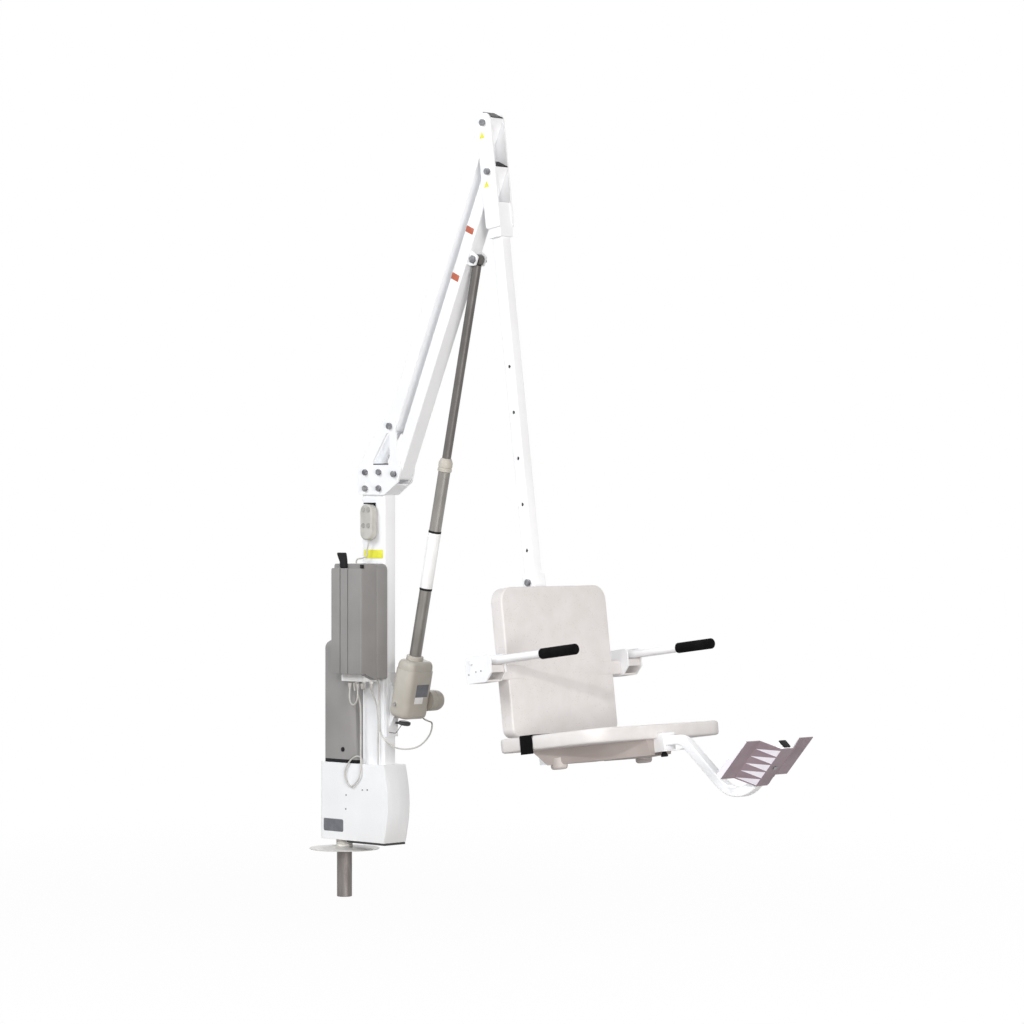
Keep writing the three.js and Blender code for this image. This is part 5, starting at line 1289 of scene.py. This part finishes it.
# Mast plate and the bare plate on the base; centre x, z, then width, height
mastPlate = {"centre": (161.5, -25.4, 944.0), "width": 87.0, "height": 28.0, "corner": 4.0, "thick": 0.6}
basePlate = {"centre": (0.5, -48.5, 79.0), "width": 91.0, "height": 40.0, "corner": 6.0, "thick": 0.6}
for name, finish, spec in (
    ("mastPlate", "plainYellow", mastPlate), ("basePlateBare", "plainGrey", basePlate),
):
    addPlate(
        name, "mast", finish, spec["centre"], xAxis, zAxis, -yAxis,
        spec["width"], spec["height"], spec["corner"], spec["thick"],
    )

# Arm label: a white plate with two orange ends, counted along and back from the lower pivot
armLabel = {
    "side": -25.4, "back": 5.5, "height": 33.0, "corner": 2.0,
    "strips": [
        ("armLabel", "plainWhite", 651.5, 826.8, 0.6), ("armLabelFoot", "plainOrange", 651.5, 672.0, 1.0),
        ("armLabelHead", "plainOrange", 807.0, 826.8, 1.0),
    ],
}
for name, finish, start, stop, thick in armLabel["strips"]:
    place = armFoot + armAlong * (start + stop) / 2 + armBack * armLabel["back"]
    place[1] = armLabel["side"]
    addPlate(
        name, "lower_arm_body", finish, place, armAlong, armBack, -yAxis,
        stop - start, armLabel["height"], armLabel["corner"], thick,
    )

# Hanger triangles: apex and base, forward and up in the seat frame
hangerMarks = {
    "side": -32.0, "thick": 0.45,
    "upper": [(-9.2, 1863.8), (-22.2, 1842.0), (-0.1, 1842.0)],
    "lower": [(-9.5, 1710.4), (-22.2, 1690.0), (-0.2, 1690.0)],
}
for label in ("upper", "lower"):
    corners = np.array([onSeat(f, hangerMarks["side"], u) for f, u in hangerMarks[label]])
    addPrism(
        "hangerMark" + label.capitalize(), "hanger", "plainYellow", corners,
        -yAxis, plateLift, hangerMarks["thick"],
    )

# Small screws on the base sides and the round button of the motor cover
baseScrews = [(59.4, 177.7), (58.0, 133.1), (134.1, 197.4), (156.5, 198.6)]
for k, (x, z) in enumerate(baseScrews):
    addStud("baseScrew" + str(k + 1), "mast", "boltSteel", (x, -48.5, z), -yAxis, 2.6, 1.4)
addStud("coverButton", "mast", "blackPlastic", (43.5, -47.0, 321.8), -yAxis, 7.5, 2.5)

# Actuator: two bare plates on its front face and a knurled knob under its foot
housingPlates = [
    ("housingPlateDark", "plainGrey", 53.0, 6.0, 40.0, 52.0),
    ("housingPlateWhite", "plainWhite", 21.5, -3.0, 21.0, 36.0),
]
housingFront = housing["middle"] + housing["halfDepth"]
for name, finish, run, side, tall, wide in housingPlates:
    addPlate(
        name, "actuator", finish, onActuator(run, side, housingFront) / mm, yAxis,
        actuatorAlong, actuatorFront, wide, tall, 1.5, 0.6,
    )
footKnob = {
    "profile": [
        (pole, 57.8), (14, 57.8), (18, 59.4), (18.6, 61), (18.6, 66), (16.5, 69), (9, 70.4),
        (pole, 70.4),
    ],
    "lobes": 20, "lobeShare": 0.035, "stem": [(pole, 0), (4, 0), (4, 38), (pole, 38)], "stemDrop": 64.0,
}
pinRing = [(5.8, -0.5), (11, -0.5), (11, 0.6), (10.4, 1.0), (6.2, 1.0), (5.8, 0.6), (5.8, -0.5)]
ring = turned(onActuator(0, -housing["halfWidth"], 0), -yAxis, np.array(pinRing) * mm, 48)
showForm("pinRing", [ring], "housingPlastic", "actuator")
showForm("footKnob", [
    turned(
        actuatorFoot, -actuatorAlong, np.array(footKnob["profile"]) * mm, 120,
        footKnob["lobes"], footKnob["lobeShare"],
    ),
    turned(onActuator(-footKnob["stemDrop"], 0, 0), -xAxis, np.array(footKnob["stem"]) * mm, 24),
], "darkCoat", "mast", creaseDeg=30)

# Strip boots: soft cones where the leads leave it, x, y and drop
stripBoots = {
    "top": 536.6, "radius": 6.0, "neck": 3.2,
    "places": [
        (113.0, -83.0, 20.0), (131.0, -78.0, 24.0), (149.0, -83.0, 20.0), (166.0, -80.0, 18.0),
        (110.8, -51.0, 22.0), (143.9, -51.0, 22.0), (176.9, -51.0, 22.0),
    ],
}
for k, (x, y, drop) in enumerate(stripBoots["places"]):
    boot = [
        (pole, 0), (stripBoots["radius"], 0), (stripBoots["radius"], drop * 0.3),
        (stripBoots["neck"], drop - 1), (stripBoots["neck"] - 0.4, drop), (pole, drop),
    ]
    centre = np.array([x, y, stripBoots["top"]]) * mm
    cone = turned(centre, -zAxis, np.array(boot) * mm, 28)
    showForm("stripBoot" + str(k + 1), [cone], "cordJacket", "mast")

# Knuckle cap strip between the plates, battery clip and the small screws of the armrest brackets
addPlate(
    "knuckleStrip", "mast", "blackPlastic", (201.0, -32.0, 1227.8), xAxis, zAxis,
    -yAxis, 69.0, 3.4, 1.0, 0.35,
)
addPlate(
    "batteryClip", "battery", "blackPlastic", (220.5, -129.0, 906.2), xAxis, zAxis,
    -yAxis, 9.0, 11.6, 1.5, 8.0,
)
bracketScrews = [(29.7, 229.4, 3.4), (16.3, 198.1, 2.2), (46.4, 204.0, 2.2), (67.4, 204.9, 2.2)]
for side in (-1, 1):
    for k, (forward, up, radius) in enumerate(bracketScrews):
        addStud(
            "bracketScrew" + ("Right" if side < 0 else "Left") + str(k + 1), "hanger",
            "boltSteel", onSeat(forward, side * 333.0, up) / mm, side * yAxis, radius, 1.2,
        )
print("plates and studs added")

# Studio: a pale floor that the camera sees near white, a pale world and three soft lamps
studio = {
    "floorHeight": -0.1534, "floorSize": 60.0, "floorTone": (150, 146, 143),
    "nearGlow": 0.975, "farGlow": 1.0, "glowReach": 3.0,
    "worldStrength": 0.29, "worldTone": (1.0, 1.0, 1.0),
    "lamps": {
        "keyLamp": {"place": (-1.5, -6.5, 5.2), "size": 4.5, "power": 390, "tone": (0.945, 0.975, 1.0)},
        "fillLamp": {"place": (6.5, 0.5, 3.4), "size": 4.5, "power": 60, "tone": (1.0, 0.985, 0.96)},
        "sideLamp": {"place": (7.2, -3.2, 0.9), "size": 3.0, "power": 310, "tone": (1.0, 0.98, 0.96)},
        "streakLamp": {"place": (5.2, -6.5, 2.7), "size": 0.22, "power": 130, "tone": (1.0, 0.995, 0.99)},
        "rimLamp": {"place": (-3.5, 5.0, 4.2), "size": 3.5, "power": 100, "tone": (0.98, 0.99, 1.0)},
    },
    "aim": (0.75, 0.0, 1.0),
}


# One for rays that the camera sees directly, in a gloss or through a clear body
def seenRays(tree):
    path = addNode(tree, "ShaderNodeLightPath")
    seen = addNode(tree, "ShaderNodeMath", {
        0: path.outputs["Is Camera Ray"], 1: path.outputs["Is Glossy Ray"],
    }, operation="MAXIMUM").outputs[0]
    seen = addNode(tree, "ShaderNodeMath", {
        0: seen, 1: path.outputs["Is Transmission Ray"],
    }, operation="MAXIMUM").outputs[0]
    return seen


def makeStudio(spec):
    half = spec["floorSize"] / 2
    mesh = bpy.data.meshes.new("studioFloor")
    corners = [(-half, -half, 0), (half, -half, 0), (half, half, 0), (-half, half, 0)]
    mesh.from_pydata(corners, [], [(0, 1, 2, 3)])
    floor = bpy.data.objects.new("studioFloor", mesh)
    floor.location.z = spec["floorHeight"]
    scene.collection.objects.link(floor)
    material = bpy.data.materials.new("studioFloor")
    material.use_nodes = True
    tree = material.node_tree
    tree.nodes.clear()
    matt = addNode(tree, "ShaderNodeBsdfDiffuse", {"Color": tone(*spec["floorTone"])})
    shine = addNode(tree, "ShaderNodeEmission", {"Color": (1, 1, 1, 1), "Strength": 1.0})
    seen = seenRays(tree)
    place = addNode(tree, "ShaderNodeTexCoord").outputs["Object"]
    away = addNode(tree, "ShaderNodeVectorMath", {0: place}, operation="LENGTH").outputs["Value"]
    glow = stretched(tree, away, 0.5, spec["glowReach"], spec["nearGlow"], spec["farGlow"])
    share = addNode(tree, "ShaderNodeMath", {0: seen, 1: glow}, operation="MULTIPLY")
    mixed = addNode(tree, "ShaderNodeMixShader", {0: share.outputs[0]})
    tree.links.new(matt.outputs[0], mixed.inputs[1])
    tree.links.new(shine.outputs[0], mixed.inputs[2])
    out = addNode(tree, "ShaderNodeOutputMaterial")
    tree.links.new(mixed.outputs[0], out.inputs["Surface"])
    mesh.materials.append(material)
    world = bpy.data.worlds.new("studioWorld")
    world.use_nodes = True
    tree = world.node_tree
    tree.nodes.clear()
    seen = seenRays(tree)
    strength = stretched(tree, seen, 0, 1, spec["worldStrength"], 1.0)
    sky = addNode(tree, "ShaderNodeBackground", {
        "Color": (*spec["worldTone"], 1), "Strength": strength,
    })
    out = addNode(tree, "ShaderNodeOutputWorld")
    tree.links.new(sky.outputs[0], out.inputs["Surface"])
    scene.world = world
    for name, lamp in spec["lamps"].items():
        data = bpy.data.lights.new(name, "AREA")
        data.shape = "DISK"
        data.size = lamp["size"]
        data.energy = lamp["power"]
        data.color = lamp["tone"]
        light = bpy.data.objects.new(name, data)
        light.location = lamp["place"]
        aim = Vector(spec["aim"]) - light.location
        light.rotation_euler = aim.to_track_quat("-Z", "Y").to_euler()
        scene.collection.objects.link(light)


makeStudio(studio)
scene.view_settings.view_transform = "Standard"
print("studio lit")
